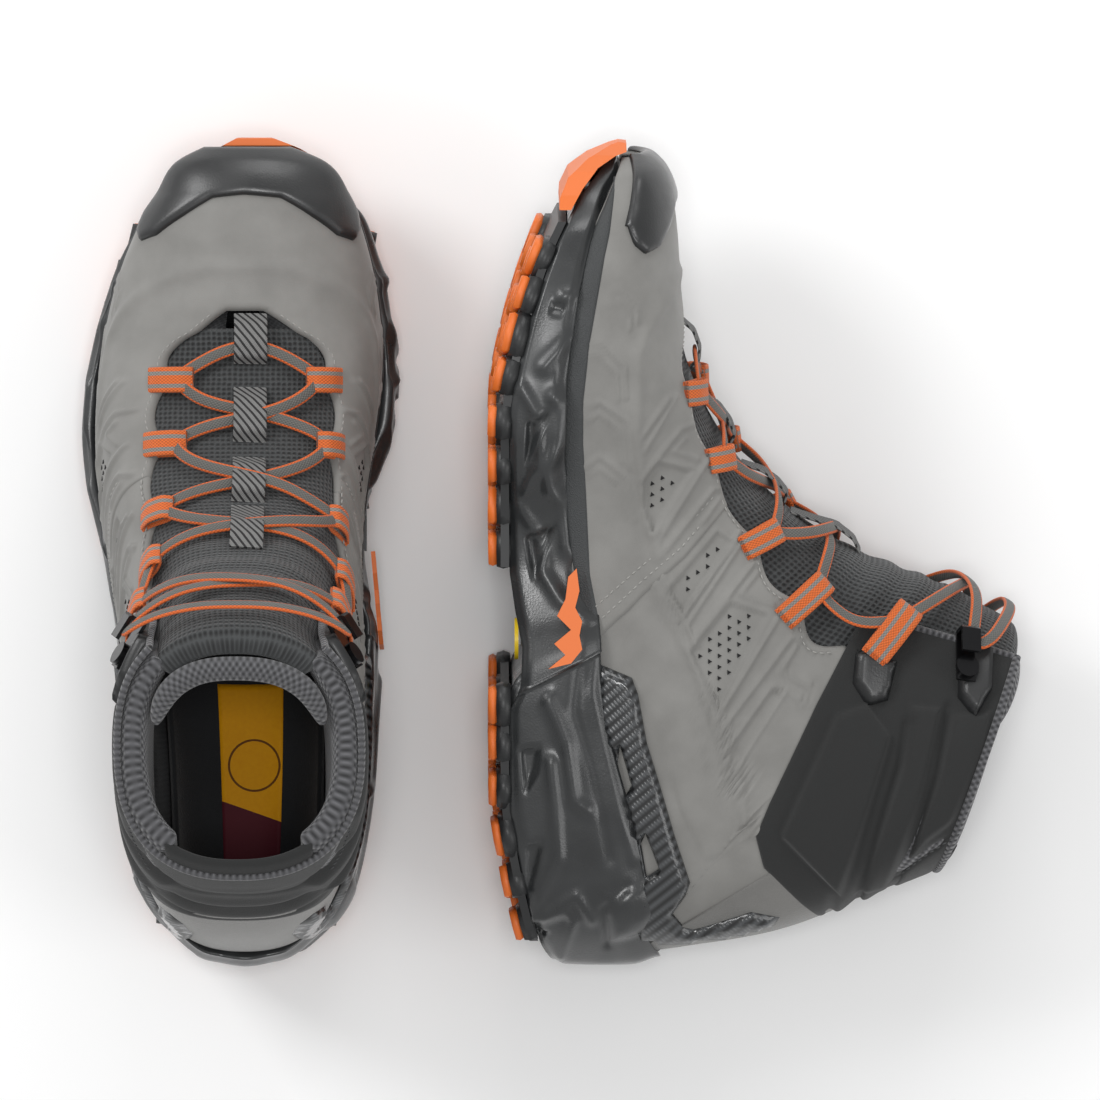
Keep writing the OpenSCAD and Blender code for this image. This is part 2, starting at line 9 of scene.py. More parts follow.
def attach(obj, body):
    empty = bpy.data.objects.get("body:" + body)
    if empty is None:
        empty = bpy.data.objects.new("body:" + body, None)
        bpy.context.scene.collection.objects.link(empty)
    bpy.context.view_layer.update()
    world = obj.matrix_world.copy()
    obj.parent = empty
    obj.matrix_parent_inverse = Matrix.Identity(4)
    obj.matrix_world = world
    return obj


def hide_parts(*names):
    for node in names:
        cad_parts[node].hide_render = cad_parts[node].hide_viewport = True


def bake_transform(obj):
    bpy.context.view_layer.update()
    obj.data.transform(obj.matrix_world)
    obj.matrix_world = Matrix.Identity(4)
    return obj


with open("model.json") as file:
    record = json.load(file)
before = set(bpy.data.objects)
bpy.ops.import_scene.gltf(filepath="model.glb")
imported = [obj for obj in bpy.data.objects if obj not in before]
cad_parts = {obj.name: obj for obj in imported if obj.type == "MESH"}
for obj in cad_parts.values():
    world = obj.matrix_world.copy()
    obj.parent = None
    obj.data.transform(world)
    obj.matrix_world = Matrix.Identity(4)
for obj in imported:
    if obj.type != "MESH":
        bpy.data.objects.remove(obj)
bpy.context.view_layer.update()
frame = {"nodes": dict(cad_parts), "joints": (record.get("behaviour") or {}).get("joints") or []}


# ---- Camera, floor and light -------------------------------------------------------------
# The pair is seen straight from above, toes to the top, on a plain pale floor.
CAMERA_HEIGHT = 4.2
VIEW_WIDTH = 0.3987          # across the view, at the height of the widest parts
WIDEST_HEIGHT = 0.05
camera_data = bpy.data.cameras.new("camera")
camera_data.sensor_width = 36
camera_data.lens = 36 * (CAMERA_HEIGHT - WIDEST_HEIGHT) / VIEW_WIDTH
camera_data.clip_end = 20
camera = bpy.data.objects.new("camera", camera_data)
camera.location = (-0.0006, 0.0004, CAMERA_HEIGHT)
bpy.context.scene.collection.objects.link(camera)
bpy.context.scene.camera = camera

floor_mesh = bpy.data.meshes.new("floor")
floor_mesh.from_pydata([(-3, -3, 0), (3, -3, 0), (3, 3, 0), (-3, 3, 0)], [], [(0, 1, 2, 3)])
floor = bpy.data.objects.new("floor", floor_mesh)
bpy.context.scene.collection.objects.link(floor)
floor_paint = bpy.data.materials.new("floor_paint")
floor_paint.use_nodes = True
floor_paint.node_tree.nodes["Principled BSDF"].inputs["Base Color"].default_value = (0.9, 0.9, 0.9, 1)
floor_paint.node_tree.nodes["Principled BSDF"].inputs["Roughness"].default_value = 0.9
floor_mesh.materials.append(floor_paint)

world = bpy.data.worlds.new("soft_room")
world.use_nodes = True
world.node_tree.nodes["Background"].inputs["Color"].default_value = (1, 1, 1, 1)
world.node_tree.nodes["Background"].inputs["Strength"].default_value = 0.55
bpy.context.scene.world = world
bpy.context.scene.view_settings.view_transform = "Standard"
for name, place, size, power in [("key", (-1.3, 0.9, 1.3), 0.7, 16),
                                 ("rim", (0.2, 1.6, 0.9), 0.8, 8),
                                 ("fill", (1.5, -0.6, 1.2), 0.9, 7),
                                 ("overhead", (0.0, -0.05, 2.6), 0.5, 16)]:
    lamp_data = bpy.data.lights.new(name, "AREA")
    lamp_data.size = size
    lamp_data.energy = power
    lamp = bpy.data.objects.new(name, lamp_data)
    lamp.location = place
    lamp.rotation_euler = (-Vector(place)).to_track_quat("-Z", "Y").to_euler()
    bpy.context.scene.collection.objects.link(lamp)


# ---- Last: the form that the uppers are stretched on ---------------------------------------
# The shoemaker's last is a row of sections from the toe to the top of the cuff. A place on it
# is a section t, an angle a (0 on top, 90 inner side, 180 below or behind) and a distance d.
SECTIONS = np.array([        # top Y Z, bottom Y Z, half widths in and out, height of widest, fullness
    [293, 53, 293, 47, 12, 10, 0.50, 2.0, 2.0], [288, 60, 288, 42, 27, 22, 0.45, 2.1, 2.4],
    [280, 64, 280, 37, 34, 28, 0.40, 2.2, 2.8], [266, 66, 266, 31, 40, 37, 0.35, 2.3, 3.2],
    [244, 67.5, 245, 26, 45, 45, 0.32, 2.5, 3.6], [219, 71.5, 218, 22, 47, 50, 0.28, 2.9, 3.6],
    [195, 82, 190, 20, 44, 51, 0.26, 3.1, 3.4], [176, 96, 155, 20.5, 40, 49, 0.26, 3.1, 3.2],
    [162, 112, 112, 23, 40, 44, 0.30, 3.1, 3.0], [152, 128, 65, 26, 41, 40, 0.36, 3.0, 2.8],
    [145, 144, 21, 31, 40, 38, 0.42, 2.9, 2.6], [140, 157, 8, 52, 38, 37, 0.46, 2.8, 2.5],
    [135, 169, 10, 80, 38, 37, 0.48, 2.7, 2.4], [130, 181, 15.5, 108, 39, 38, 0.50, 2.6, 2.4],
    [126, 189, 26, 135, 41, 38.5, 0.50, 2.5, 2.4], [122, 193, 39, 166, 41.5, 38.5, 0.50, 2.5, 2.4]])
ANKLE_Y, ANKLE_Z = 59, 97    # the hinge line of the ankle


def lookup(value, table):
    """Value read from a table of rising [place, value] pairs"""
    table = np.asarray(table, float)
    return np.interp(value, table[:, 0], table[:, 1])


def on_last(t, a, d=0.0):
    """Points at section t, angle a and distance d, in millimetres on the left boot"""
    t, a, d = np.broadcast_arrays(np.asarray(t, float), np.asarray(a, float), np.asarray(d, float))
    i = np.clip(np.floor(t).astype(int), 0, len(SECTIONS) - 2)
    f = (t - i)[..., None]
    p, q, r, s = (SECTIONS[np.clip(i + k, 0, len(SECTIONS) - 1)] for k in (-1, 0, 1, 2))
    c = 0.5 * (2 * q + (r - p) * f + (2 * p - 5 * q + 4 * r - s) * f**2
               + (3 * q - p - 3 * r + s) * f**3)
    b = np.where(a > 180, a - 360, a)
    zero = np.zeros_like(t)
    top = np.stack([zero, c[..., 0], c[..., 1]], -1)
    low = np.stack([zero, c[..., 2], c[..., 3]], -1)
    tall = np.linalg.norm(top - low, axis=-1)
    up = (top - low) / tall[..., None]
    mid = tall * c[..., 6]
    upper = np.abs(b) < 90
    power = 2 / np.where(upper, c[..., 7], c[..., 8])
    rise = np.abs(np.cos(np.radians(b))) ** power
    reach = np.abs(np.sin(np.radians(b))) ** power
    v = np.where(upper, mid + (tall - mid + d) * rise, mid - (mid + d) * rise)
    point = low + up * v[..., None]
    point[..., 0] += np.sign(b) * (np.where(b >= 0, c[..., 4], c[..., 5]) + d) * reach
    point[..., 1] += d * np.maximum(0, 1 - t / 2)
    return point


def outward(t, a, d):
    """Direction that points away from the boot at a place on the last"""
    v = on_last(t, a, np.asarray(d) + 2.0) - on_last(t, a, d)
    return v / np.linalg.norm(v, axis=-1, keepdims=True)


HALVINGS = 26                # of a search between two places, down to far below a micrometre


def section_where(a, wanted, low, high):
    """Section at which wanted(point) turns from negative to positive along angle a"""
    low = np.full(np.shape(a), float(low))
    high = np.full(np.shape(a), float(high))
    for _ in range(HALVINGS):
        mid = (low + high) / 2
        before = wanted(on_last(mid, a)) < 0
        low, high = np.where(before, mid, low), np.where(before, high, mid)
    return (low + high) / 2


def angle_where(t, wanted, low, high):
    """Angle at which wanted(point) turns from negative to positive round section t"""
    low = np.full(np.shape(t), float(low))
    high = np.full(np.shape(t), float(high))
    for _ in range(HALVINGS):
        mid = (low + high) / 2
        before = wanted(on_last(t, mid)) < 0
        low, high = np.where(before, mid, low), np.where(before, high, mid)
    return (low + high) / 2


def evenly(t, first, last, count):
    """Angles from first to last round each section t, an even distance apart"""
    share = np.linspace(0, 1, 181)
    a = first[:, None] + (last - first)[:, None] * share
    step = np.linalg.norm(np.diff(on_last(t[:, None], a), axis=1), axis=-1)
    far = np.concatenate([np.zeros((len(t), 1)), np.cumsum(step, 1)], 1)
    return np.stack([np.interp(np.linspace(0, f[-1], count + 1), f, row) for f, row in zip(far, a)])


def weave_grid(rows, cols, keep=None, closed=False):
    """Four-sided faces of a grid of rows by cols points, only where keep is true"""
    i, j = np.meshgrid(np.arange(rows - 1), np.arange(cols if closed else cols - 1), indexing="ij")
    if keep is not None:
        i, j = i[keep], j[keep]
    i, j = i.ravel(), j.ravel()
    n = (j + 1) % cols
    return np.stack([i * cols + j, i * cols + n, (i + 1) * cols + n, (i + 1) * cols + j], 1)


def closed_layer(outer, inner, faces):
    """Outer and inner points joined round their open edges into one closed skin"""
    faces = np.asarray(faces)
    used, packed = np.unique(faces, return_inverse=True)
    faces = packed.reshape(faces.shape)
    outer, inner = outer[used], inner[used]
    n = len(used)
    a, b = faces.ravel(), np.roll(faces, -1, axis=1).ravel()
    rim = ~np.isin(a.astype(np.int64) * n + b, b.astype(np.int64) * n + a)
    p = outer[faces]
    normal = np.cross(p[:, 1] - p[:, 0], p[:, 2] - p[:, 0])
    facing = np.einsum("ij,ij->i", normal, (outer - inner)[faces[:, 0]]).sum() > 0
    strips = np.stack([b[rim], a[rim], a[rim] + n, b[rim] + n], 1)
    skin = faces.tolist() + (faces[:, ::-1] + n).tolist() + strips.tolist()
    if not facing:
        skin = [f[::-1] for f in skin]
    return np.concatenate([outer, inner]), skin, np.concatenate([used, used])


def rounded(t, a, faces, low, high, radius, share=0.3):
    """Heights of a layer's outer face, turned down over radius at its open edges"""
    faces = np.asarray(faces)
    n = len(t)
    x, y = faces.ravel(), np.roll(faces, -1, axis=1).ravel()
    rim = ~np.isin(x.astype(np.int64) * n + y, y.astype(np.int64) * n + x)
    p = on_last(t, a)
    edge = p[np.unique(np.concatenate([x[rim], y[rim]]))]
    tree = kdtree.KDTree(len(edge))
    for k, e in enumerate(edge):
        tree.insert(e, k)
    tree.balance()
    far = np.array([tree.find(q)[2] for q in p])
    curve = np.sqrt(1 - (1 - np.clip(far / radius, 0, 1)) ** 2)
    return low + (high - low) * (share + (1 - share) * curve), far


JOINTS = {j["name"]: j for j in frame["joints"]}
left_origin = np.array(JOINTS["left_ankle_flex"]["pos_m"]) - (0, ANKLE_Y / 1000, ANKLE_Z / 1000)
hinge = JOINTS["right_ankle_flex"]["axis"]
pitch, roll = math.asin(-hinge[1]), math.atan2(hinge[0], hinge[2])
rolled = np.array([[math.cos(roll), 0, math.sin(roll)], [0, 1, 0],
                   [-math.sin(roll), 0, math.cos(roll)]])
pitched = np.array([[1, 0, 0], [0, math.cos(pitch), -math.sin(pitch)],
                    [0, math.sin(pitch), math.cos(pitch)]])
turn = rolled @ pitched
right_origin = np.array(JOINTS["right_ankle_flex"]["pos_m"]) - turn @ (ANKLE_Z / 1000, ANKLE_Y / 1000, 0)
ANKLE_BEND = {"start": (0, 88, 104), "end": (0, 100, 138)}    # where cloth would bend as the ankle flexes; settle takes it, but no bend is applied


def placed(side, points):
    """Points of the left boot in millimetres, moved to where that side's boot is, in metres"""
    points = np.asarray(points, float) / 1000
    if side == "left":
        return points + left_origin
    return points[..., [2, 1, 0]] @ turn.T + right_origin


def turned_to(side, directions):
    """Directions on the left boot, as they are on that side's boot"""
    return directions if side == "left" else directions[..., [2, 1, 0]] @ turn.T


def settle(piece, side, replaced, moves, bend=None):
    """Puts a finished piece under its side's body, or for ankle pieces only bakes its place, with no body and
    no bend; hides the CAD nodes that it stands for
    """
    if moves == "ankle":
        bend = bend or ANKLE_BEND
        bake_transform(piece)
    else:
        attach(piece, side + "_" + moves)
    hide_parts(*[side + "_" + node for node in replaced])


def both_boots(name, points, faces, finish, replaced=(), moves="boot", cloth=None, bend=None):
    """Makes the piece for the left and for the right boot"""
    for side in ("left", "right"):
        mesh = bpy.data.meshes.new(side + "_" + name)
        order = faces if side == "left" else [f[::-1] for f in faces]
        mesh.from_pydata(placed(side, points).tolist(), [], order)
        place = mesh.attributes.new("boot", "FLOAT_VECTOR", "POINT")
        place.data.foreach_set("vector", (np.asarray(points, float) / 1000).ravel())
        if cloth is not None:
            corner = np.empty(len(mesh.loops), np.int32)
            mesh.loops.foreach_get("vertex_index", corner)
            layer = mesh.uv_layers.new(name="cloth")
            layer.data.foreach_set("uv", (np.asarray(cloth, float)[corner] / 100).ravel())
        mesh.shade_smooth()
        mesh.materials.append(finish)
        mesh.validate()
        piece = bpy.data.objects.new(side + "_" + name + "_finish", mesh)
        bpy.context.scene.collection.objects.link(piece)
        settle(piece, side, replaced, moves, bend)


def from_line(points, line):
    """Distance from a line drawn on the side view as (Z, Y) corners"""
    q = points[..., [2, 1]]
    best = np.full(q.shape[:-1], 1e9)
    corners = np.asarray(line, float)
    for s, e in zip(corners[:-1], corners[1:]):
        run = e - s
        f = np.clip(((q - s) @ run) / (run @ run), 0, 1)
        best = np.minimum(best, np.linalg.norm(q - s - f[..., None] * run, axis=-1))
    return best


def depth_within(points, outline):
    """Distance inside an outline drawn on the side view, negative outside it"""
    q = points[..., [2, 1]]
    corners = np.asarray(outline, float)
    inside = np.zeros(q.shape[:-1], bool)
    for s, e in zip(corners, np.roll(corners, -1, 0)):
        crosses = (s[1] > q[..., 1]) != (e[1] > q[..., 1])
        slope = (e[0] - s[0]) / (e[1] - s[1] if abs(e[1] - s[1]) > 1e-9 else 1e-9)
        inside ^= crosses & (q[..., 0] < s[0] + slope * (q[..., 1] - s[1]))
    far = from_line(points, np.concatenate([corners, corners[:1]]))
    return np.where(inside, far, -far)


def ramp(x, low, high):
    """0 below low, 1 above high, smooth between"""
    f = np.clip((x - low) / (high - low), 0, 1)
    return f * f * (3 - 2 * f)


# Shader groups: what leather, rubber and cloth share ---------------------------------------
def shader_group(name, inputs, outputs):
    """Empty shader node group with float or vector inputs and outputs"""
    tree = bpy.data.node_groups.new(name, "ShaderNodeTree")
    for label, kind, value in inputs:
        made = tree.interface.new_socket(label, in_out="INPUT", socket_type="NodeSocket" + kind)
        if value is not None:
            made.default_value = value
    for label, kind in outputs:
        tree.interface.new_socket(label, in_out="OUTPUT", socket_type="NodeSocket" + kind)
    return tree, tree.nodes.new("NodeGroupInput"), tree.nodes.new("NodeGroupOutput")


def add_node(tree, kind, values=None, links=None, **settings):
    """Node with its settings, its socket values and what it is linked from"""
    made = tree.nodes.new("ShaderNode" + kind)
    for key, value in settings.items():
        setattr(made, key, value)
    for key, value in (values or {}).items():
        made.inputs[key].default_value = value
    for key, source in (links or {}).items():
        tree.links.new(source, made.inputs[key])
    return made


# Pebbled grain: small cells over broad mottling, for leather, rubber and foam
grain, gin, gout = shader_group("grain", [("Vector", "Vector", None), ("Scale", "Float", 900.0),
                                          ("Roughen", "Float", 0.5)],
                                [("Height", "Float"), ("Mottle", "Float")])
cells = add_node(grain, "TexVoronoi", {"Randomness": 0.9}, {"Vector": gin.outputs["Vector"],
                                                          "Scale": gin.outputs["Scale"]})
cloud = add_node(grain, "TexNoise", {"Detail": 6.0, "Scale": 60.0}, {"Vector": gin.outputs["Vector"]})
fine = add_node(grain, "TexNoise", {"Detail": 3.0}, {"Vector": gin.outputs["Vector"],
                                                    "Scale": gin.outputs["Scale"]})
both = add_node(grain, "Mix", None, {2: cells.outputs["Distance"], 3: fine.outputs["Fac"],
                                     0: gin.outputs["Roughen"]}, data_type="FLOAT")
grain.links.new(both.outputs[0], gout.inputs["Height"])
grain.links.new(cloud.outputs["Fac"], gout.inputs["Mottle"])

# Weave: two sets of round threads that pass over and under each other
weave, win, wout = shader_group("weave", [("Vector", "Vector", None), ("Across", "Float", 1.0),
                                          ("Along", "Float", 1.0)],
                                [("Height", "Float")])
apart = add_node(weave, "SeparateXYZ", None, {0: win.outputs["Vector"]})
wave = []
for axis, count in ((0, "Across"), (1, "Along")):
    turns = add_node(weave, "Math", {1: 1.0}, {0: apart.outputs[axis], 1: win.outputs[count]},
                     operation="MULTIPLY")
    angle = add_node(weave, "Math", {1: 2 * math.pi}, {0: turns.outputs[0]}, operation="MULTIPLY")
    wave.append(add_node(weave, "Math", None, {0: angle.outputs[0]}, operation="SINE"))
product = add_node(weave, "Math", None, {0: wave[0].outputs[0], 1: wave[1].outputs[0]},
                   operation="MULTIPLY")
height = add_node(weave, "Math", {1: 0.5, 2: 0.5}, {0: product.outputs[0]}, operation="MULTIPLY_ADD")
weave.links.new(height.outputs[0], wout.inputs["Height"])


def srgb(r, g, b):
    """Colour given in 0-255 steps, as linear light"""
    return tuple(((c / 255 + 0.055) / 1.055) ** 2.4 if c > 10 else c / 3294 for c in (r, g, b)) + (1,)


def new_finish(name, roughness, **sockets):
    """Material with its Principled shader and the boot's own coordinates"""
    made = bpy.data.materials.new(name)
    made.use_nodes = True
    tree = made.node_tree
    shader = tree.nodes["Principled BSDF"]
    shader.inputs["Roughness"].default_value = roughness
    for key, value in sockets.items():
        shader.inputs[key.replace("_", " ")].default_value = value
    place = add_node(tree, "Attribute", attribute_name="boot")
    return made, tree, shader, place.outputs["Vector"]


def use_group(tree, group, vector, **values):
    """Shared shader group, fed with a place and with its own values"""
    made = tree.nodes.new("ShaderNodeGroup")
    made.node_tree = group
    tree.links.new(vector, made.inputs["Vector"])
    for key, value in values.items():
        made.inputs[key].default_value = value
    return made


def colour_from(tree, shader, factor, dark, light):
    """Base colour that runs from dark to light with factor"""
    mix = add_node(tree, "Mix", {6: dark, 7: light}, {0: factor}, data_type="RGBA")
    tree.links.new(mix.outputs[2], shader.inputs["Base Color"])


def bump_from(tree, shader, height, strength, distance):
    """Bump made from a height"""
    made = add_node(tree, "Bump", {"Strength": strength, "Distance": distance}, {"Height": height})
    tree.links.new(made.outputs["Normal"], shader.inputs["Normal"])


def plain_finish(name, dark, light, roughness, scale, strength, distance, roughen=0.5, **sockets):
    """Grained material: mottled colour and a pebbled surface"""
    made, tree, shader, place = new_finish(name, roughness, **sockets)
    grained = use_group(tree, grain, place, Scale=scale, Roughen=roughen)
    colour_from(tree, shader, grained.outputs["Mottle"], dark, light)
    bump_from(tree, shader, grained.outputs["Height"], strength, distance)
    spread = add_node(tree, "MapRange", {3: roughness - 0.07, 4: roughness + 0.09},
                      {0: grained.outputs["Mottle"]})
    tree.links.new(spread.outputs[0], shader.inputs["Roughness"])
    return made


def cloth_finish(name, dark, light, roughness, across, along, strength, distance, **sockets):
    """Woven or knitted material that follows the piece's own cloth map, with painted shade in the weave's
    hollows and painted highlight on its crowns
    """
    made, tree, shader, place = new_finish(name, roughness, **sockets)
    cloth_map = add_node(tree, "UVMap", uv_map="cloth")
    woven = use_group(tree, weave, cloth_map.outputs["UV"], Across=across, Along=along)
    # painted shade and highlight: the colour runs from dark in the weave's hollows to light on its crowns
    colour_from(tree, shader, woven.outputs["Height"], dark, light)
    bump_from(tree, shader, woven.outputs["Height"], strength, distance)
    return made


# ---- Sole: outsole plates, midsole, heel cradle ------------------------------------------
# Moulded rubber plates under a foam midsole at the front and a stiffer heel cradle behind.
# Both are cemented cups: their walls rise over the edge of the upper and carry deep ribs.
INNER_EDGE = [(0, 3), (1.2, 9), (3, 16), (8, 23), (16, 31), (25, 37), (34, 40), (50, 43), (66, 45),
              (83, 46), (100, 47), (116, 47.5), (124, 46), (133, 43.5), (150, 41), (166, 42), (175, 45),
              (183, 48), (191, 51), (200, 53), (216, 54), (233, 52.5), (250, 50), (258, 47.5),
              (266, 45), (275, 41), (283, 36), (290, 29), (295, 21), (298, 12)]
OUTER_EDGE = [(0, 2), (1.2, 9), (3, 16), (8, 23), (16, 31), (25, 37), (34, 41), (50, 43), (66, 44),
              (83, 45), (100, 45), (116, 47), (133, 49.5), (150, 52.5), (166, 56.5), (175, 58.5),
              (191, 60), (208, 59), (216, 58), (233, 54), (250, 48.5), (258, 45), (266, 40.5),
              (275, 35), (283, 28), (290, 20.5), (295, 12), (298, 4)]
SOLE_LOW = [(0, 24), (4, 22), (10, 19), (25, 15), (40, 12), (62, 8), (106, 8), (112, 12),
            (125, 12.6), (136, 10), (148, 8), (205, 8), (216, 9.6), (227, 12.2), (241, 15.8),
            (254, 20), (267, 25), (277, 30), (285, 34.5), (291, 40), (300, 45)]
MIDSOLE_RIM = [(111, 41), (131, 40), (149, 34.5), (172, 30), (187, 28), (219, 28.5), (248, 32.5),
               (268, 37), (285, 43), (291, 46.5), (300, 49.5)]
CRADLE_RIM = [(0, 61), (1, 63), (5, 61), (12, 57), (21, 61), (36, 57.5), (54, 54.5), (67, 50),
              (84, 45), (102, 41), (112, 40.5)]
MIDSOLE_RIBS = [
    ([(27.7, 248.5), (32, 248.5), (34, 243.8), (32, 235.9), (20.3, 223.3)], 1.1, 3.0),
    ([(24.2, 212.3), (27.7, 210), (26.5, 195), (21, 186.4), (22.6, 178.5), (28.1, 173),
      (28.9, 157.3), (32.8, 151.8), (39.1, 145.5)], 1.4, 3.4),
    ([(12, 216), (18, 206), (19, 190), (14, 178)], 0.9, 2.6),
    ([(12, 172), (19, 160), (20, 148), (26, 138), (38, 128)], 1.0, 2.8)]
MIDSOLE_POCKETS = [[(23, 246), (28, 245), (27, 242), (22, 243)],
                   [(14, 203.7), (22.6, 207.6), (18, 196), (13.2, 184.8)],
                   [(13.2, 161.2), (24.2, 165.1), (20, 152), (16.3, 144.7)]]
CRADLE_RIBS = [
    ([(21.8, 103.6), (28.4, 85.8), (31.2, 66.1), (35.9, 62.4)], 1.3, 3.0),
    ([(22.7, 80.2), (24.6, 61.4), (25.6, 44.6), (16.2, 24.9)], 1.2, 3.0),
    ([(16.2, 20.2), (28.4, 24.9), (31.2, 21.2), (26.5, 6.1)], 1.0, 2.4),
    ([(16.2, 21.2), (32.1, 30.5), (37.7, 21.2)], 1.0, 2.4),
    ([(40, 118), (38, 100), (43, 80), (48, 60), (53, 44)], 0.8, 2.6)]
CRADLE_GROOVES = [([(49.9, 33.3), (41.5, 24.9), (43.3, 10.8)], 1.3, 1.6),
                  ([(33, 112), (31, 96), (37, 78), (41, 60), (44, 44)], 0.8, 2.0)]
CRADLE_POCKETS = [[(11.5, 85.8), (19, 85.8), (18, 76), (13.4, 68)],
                  [(13.4, 49.2), (20.4, 51.1), (18, 40), (14.3, 30.5)],
                  [(15.3, 16.4), (22.7, 15.5), (19.9, 9)]]
CRADLE_BULGE = [(42.4, 30.5), (58.3, 35.2), (61.1, 22.1), (57.4, 14.6), (44.3, 12.7)]


def sole_path(step):
    """Plan outline of the sole, from the inner heel round the toe and back, evenly stepped"""
    corners = [(x, y) for y, x in INNER_EDGE] + [(-x, y) for y, x in reversed(OUTER_EDGE)]
    corners = np.array(corners, float)
    ring = np.concatenate([corners[-1:], corners, corners[:2]])
    fine = []
    for p, q, r, s in zip(ring[:-3], ring[1:-2], ring[2:-1], ring[3:]):
        f = np.linspace(0, 1, 12, endpoint=False)[:, None]
        fine.append(0.5 * (2 * q + (r - p) * f + (2 * p - 5 * q + 4 * r - s) * f**2
                           + (3 * q - p - 3 * r + s) * f**3))
    fine = np.concatenate(fine)
    fine = np.concatenate([fine, fine[:1]])
    far = np.concatenate([[0], np.cumsum(np.linalg.norm(np.diff(fine, axis=0), axis=1))])
    at = np.linspace(0, far[-1], int(far[-1] / step), endpoint=False)
    path = np.stack([np.interp(at, far, fine[:, k]) for k in (0, 1)], 1)
    run = np.roll(path, -2, 0) - np.roll(path, 2, 0)
    run /= np.linalg.norm(run, axis=1, keepdims=True)
    return path, np.stack([run[:, 1], -run[:, 0]], 1)


def cup_wall(path, away, rim, low, ribs, grooves, pockets, bulge, rows=30, wall=6.0):
    """Closed wall that follows the path: ribbed outside, rolled rim, and a foot turned in below"""
    y = path[:, 1]
    top, base = lookup(y, rim), lookup(y, low)
    f = np.linspace(0, 1, rows)
    z = base[:, None] + (top - base)[:, None] * f
    side = np.stack([np.broadcast_to(path[:, :1], z.shape), np.broadcast_to(y[:, None], z.shape), z], -1)
    grow = -1.6 * (1 - ramp(f, 0.0, 0.12)) - 2.4 * ramp(f, 0.72, 1.0) ** 1.3 + 0.5 * np.sin(np.pi * f)
    grow = np.broadcast_to(grow, z.shape).copy()
    for line, height, width in ribs:
        grow += 1.35 * height * np.exp(-(from_line(side, line) / (0.8 * width)) ** 2)
    for line, height, width in grooves:
        grow -= height * np.exp(-(from_line(side, line) / width) ** 2)
    for outline in pockets:
        grow -= 2.6 * ramp(depth_within(side, outline), -0.6, 1.8)
    if bulge is not None:
        grow += 2.0 * ramp(depth_within(side, bulge), -2.0, 4.0)
    grow = np.where(away[:, :1] < -0.5, np.minimum(grow, 0.0), grow)     # the lying boot rests here
    side[..., :2] += away[:, None, :] * grow[..., None]
    rest = []
    for inset, level in ((3.6, 1.0), (wall, 0.93), (wall, 0.2), (wall - 0.5, 0.03), (3.0, 0.0)):
        level_z = base + (top - base) * level - (0.6 if level == 1.0 else 0)
        plan = path - away * inset
        rest.append(np.stack([plan[:, 0], plan[:, 1], level_z], -1)[:, None])
    rings = np.concatenate([side] + rest, 1)
    lean = 0.5 * (rings[..., 2] - 24) * np.exp(-((rings[..., 1] - 111) / 20) ** 2)
    rings[..., 1] += lean                   # the joint between the two cups slopes forward
    return rings


def capped_tube(rings):
    """Faces of a tube of closed rings, with its two ends capped"""
    n, m = rings.shape[:2]
    faces = weave_grid(n, m, closed=True).tolist()
    faces.append(list(range(m)))
    faces.append([(n - 1) * m + k for k in reversed(range(m))])
    return faces


def faces_out(points, faces):
    """Turns a closed skin's faces outwards, by the sign of its volume"""
    p = np.asarray(points)
    volume = 0.0
    for f in faces:
        a = p[f[0]]
        for b, c in zip(f[1:-1], f[2:]):
            volume += np.dot(a, np.cross(p[b], p[c]))
    return faces if volume > 0 else [f[::-1] for f in faces]


def sole_floor(first, last, inset, low):
    """Closed slab between the walls, a little arched under the waist"""
    y = np.linspace(first, last, 34)
    inner, outer = lookup(y, INNER_EDGE) - inset, lookup(y, OUTER_EDGE) - inset
    x = -outer[:, None] + (inner + outer)[:, None] * np.linspace(0, 1, 13)
    arch = 2.0 * ramp(y, 104, 114) * (1 - ramp(y, 138, 152))
    dip = 1 - np.linspace(-1, 1, 13) ** 2
    z = lookup(y, low)[:, None] + 0.3 + arch[:, None] * dip
    under = np.stack([x, np.broadcast_to(y[:, None], x.shape), z], -1).reshape(-1, 3)
    over = under + (0, 0, 5)
    points, faces, _ = closed_layer(under, over, weave_grid(34, 13))
    return points, faces


def joined(*parts):
    """Several (points, faces) skins as one"""
    points, faces, shift = [], [], 0
    for p, f in parts:
        points.append(np.asarray(p, float))
        faces += [[k + shift for k in face] for face in f]
        shift += len(p)
    return np.concatenate(points), faces


def moulded_finish(name, dark, light, roughness, coat):
    """Moulded foam rubber: satin skin, fine pebble, and matt fields where the mould was etched"""
    made, tree, shader, place = new_finish(name, roughness, Coat_Weight=coat, Coat_Roughness=0.25)
    grained = use_group(tree, grain, place, Scale=1400.0, Roughen=0.7)
    colour_from(tree, shader, grained.outputs["Mottle"], dark, light)
    spread = add_node(tree, "MapRange", {1: 0.35, 2: 0.65, 3: roughness - 0.08, 4: roughness + 0.12},
                      {0: grained.outputs["Mottle"]})
    tree.links.new(spread.outputs[0], shader.inputs["Roughness"])
    bump_from(tree, shader, grained.outputs["Height"], 0.22, 0.0004)
    return made


sole_foam = moulded_finish("sole_foam", srgb(34, 35, 36), srgb(50, 52, 53), 0.32, 0.35)
sole_rubber = moulded_finish("sole_rubber", srgb(24, 25, 26), srgb(38, 39, 40), 0.46, 0.10)

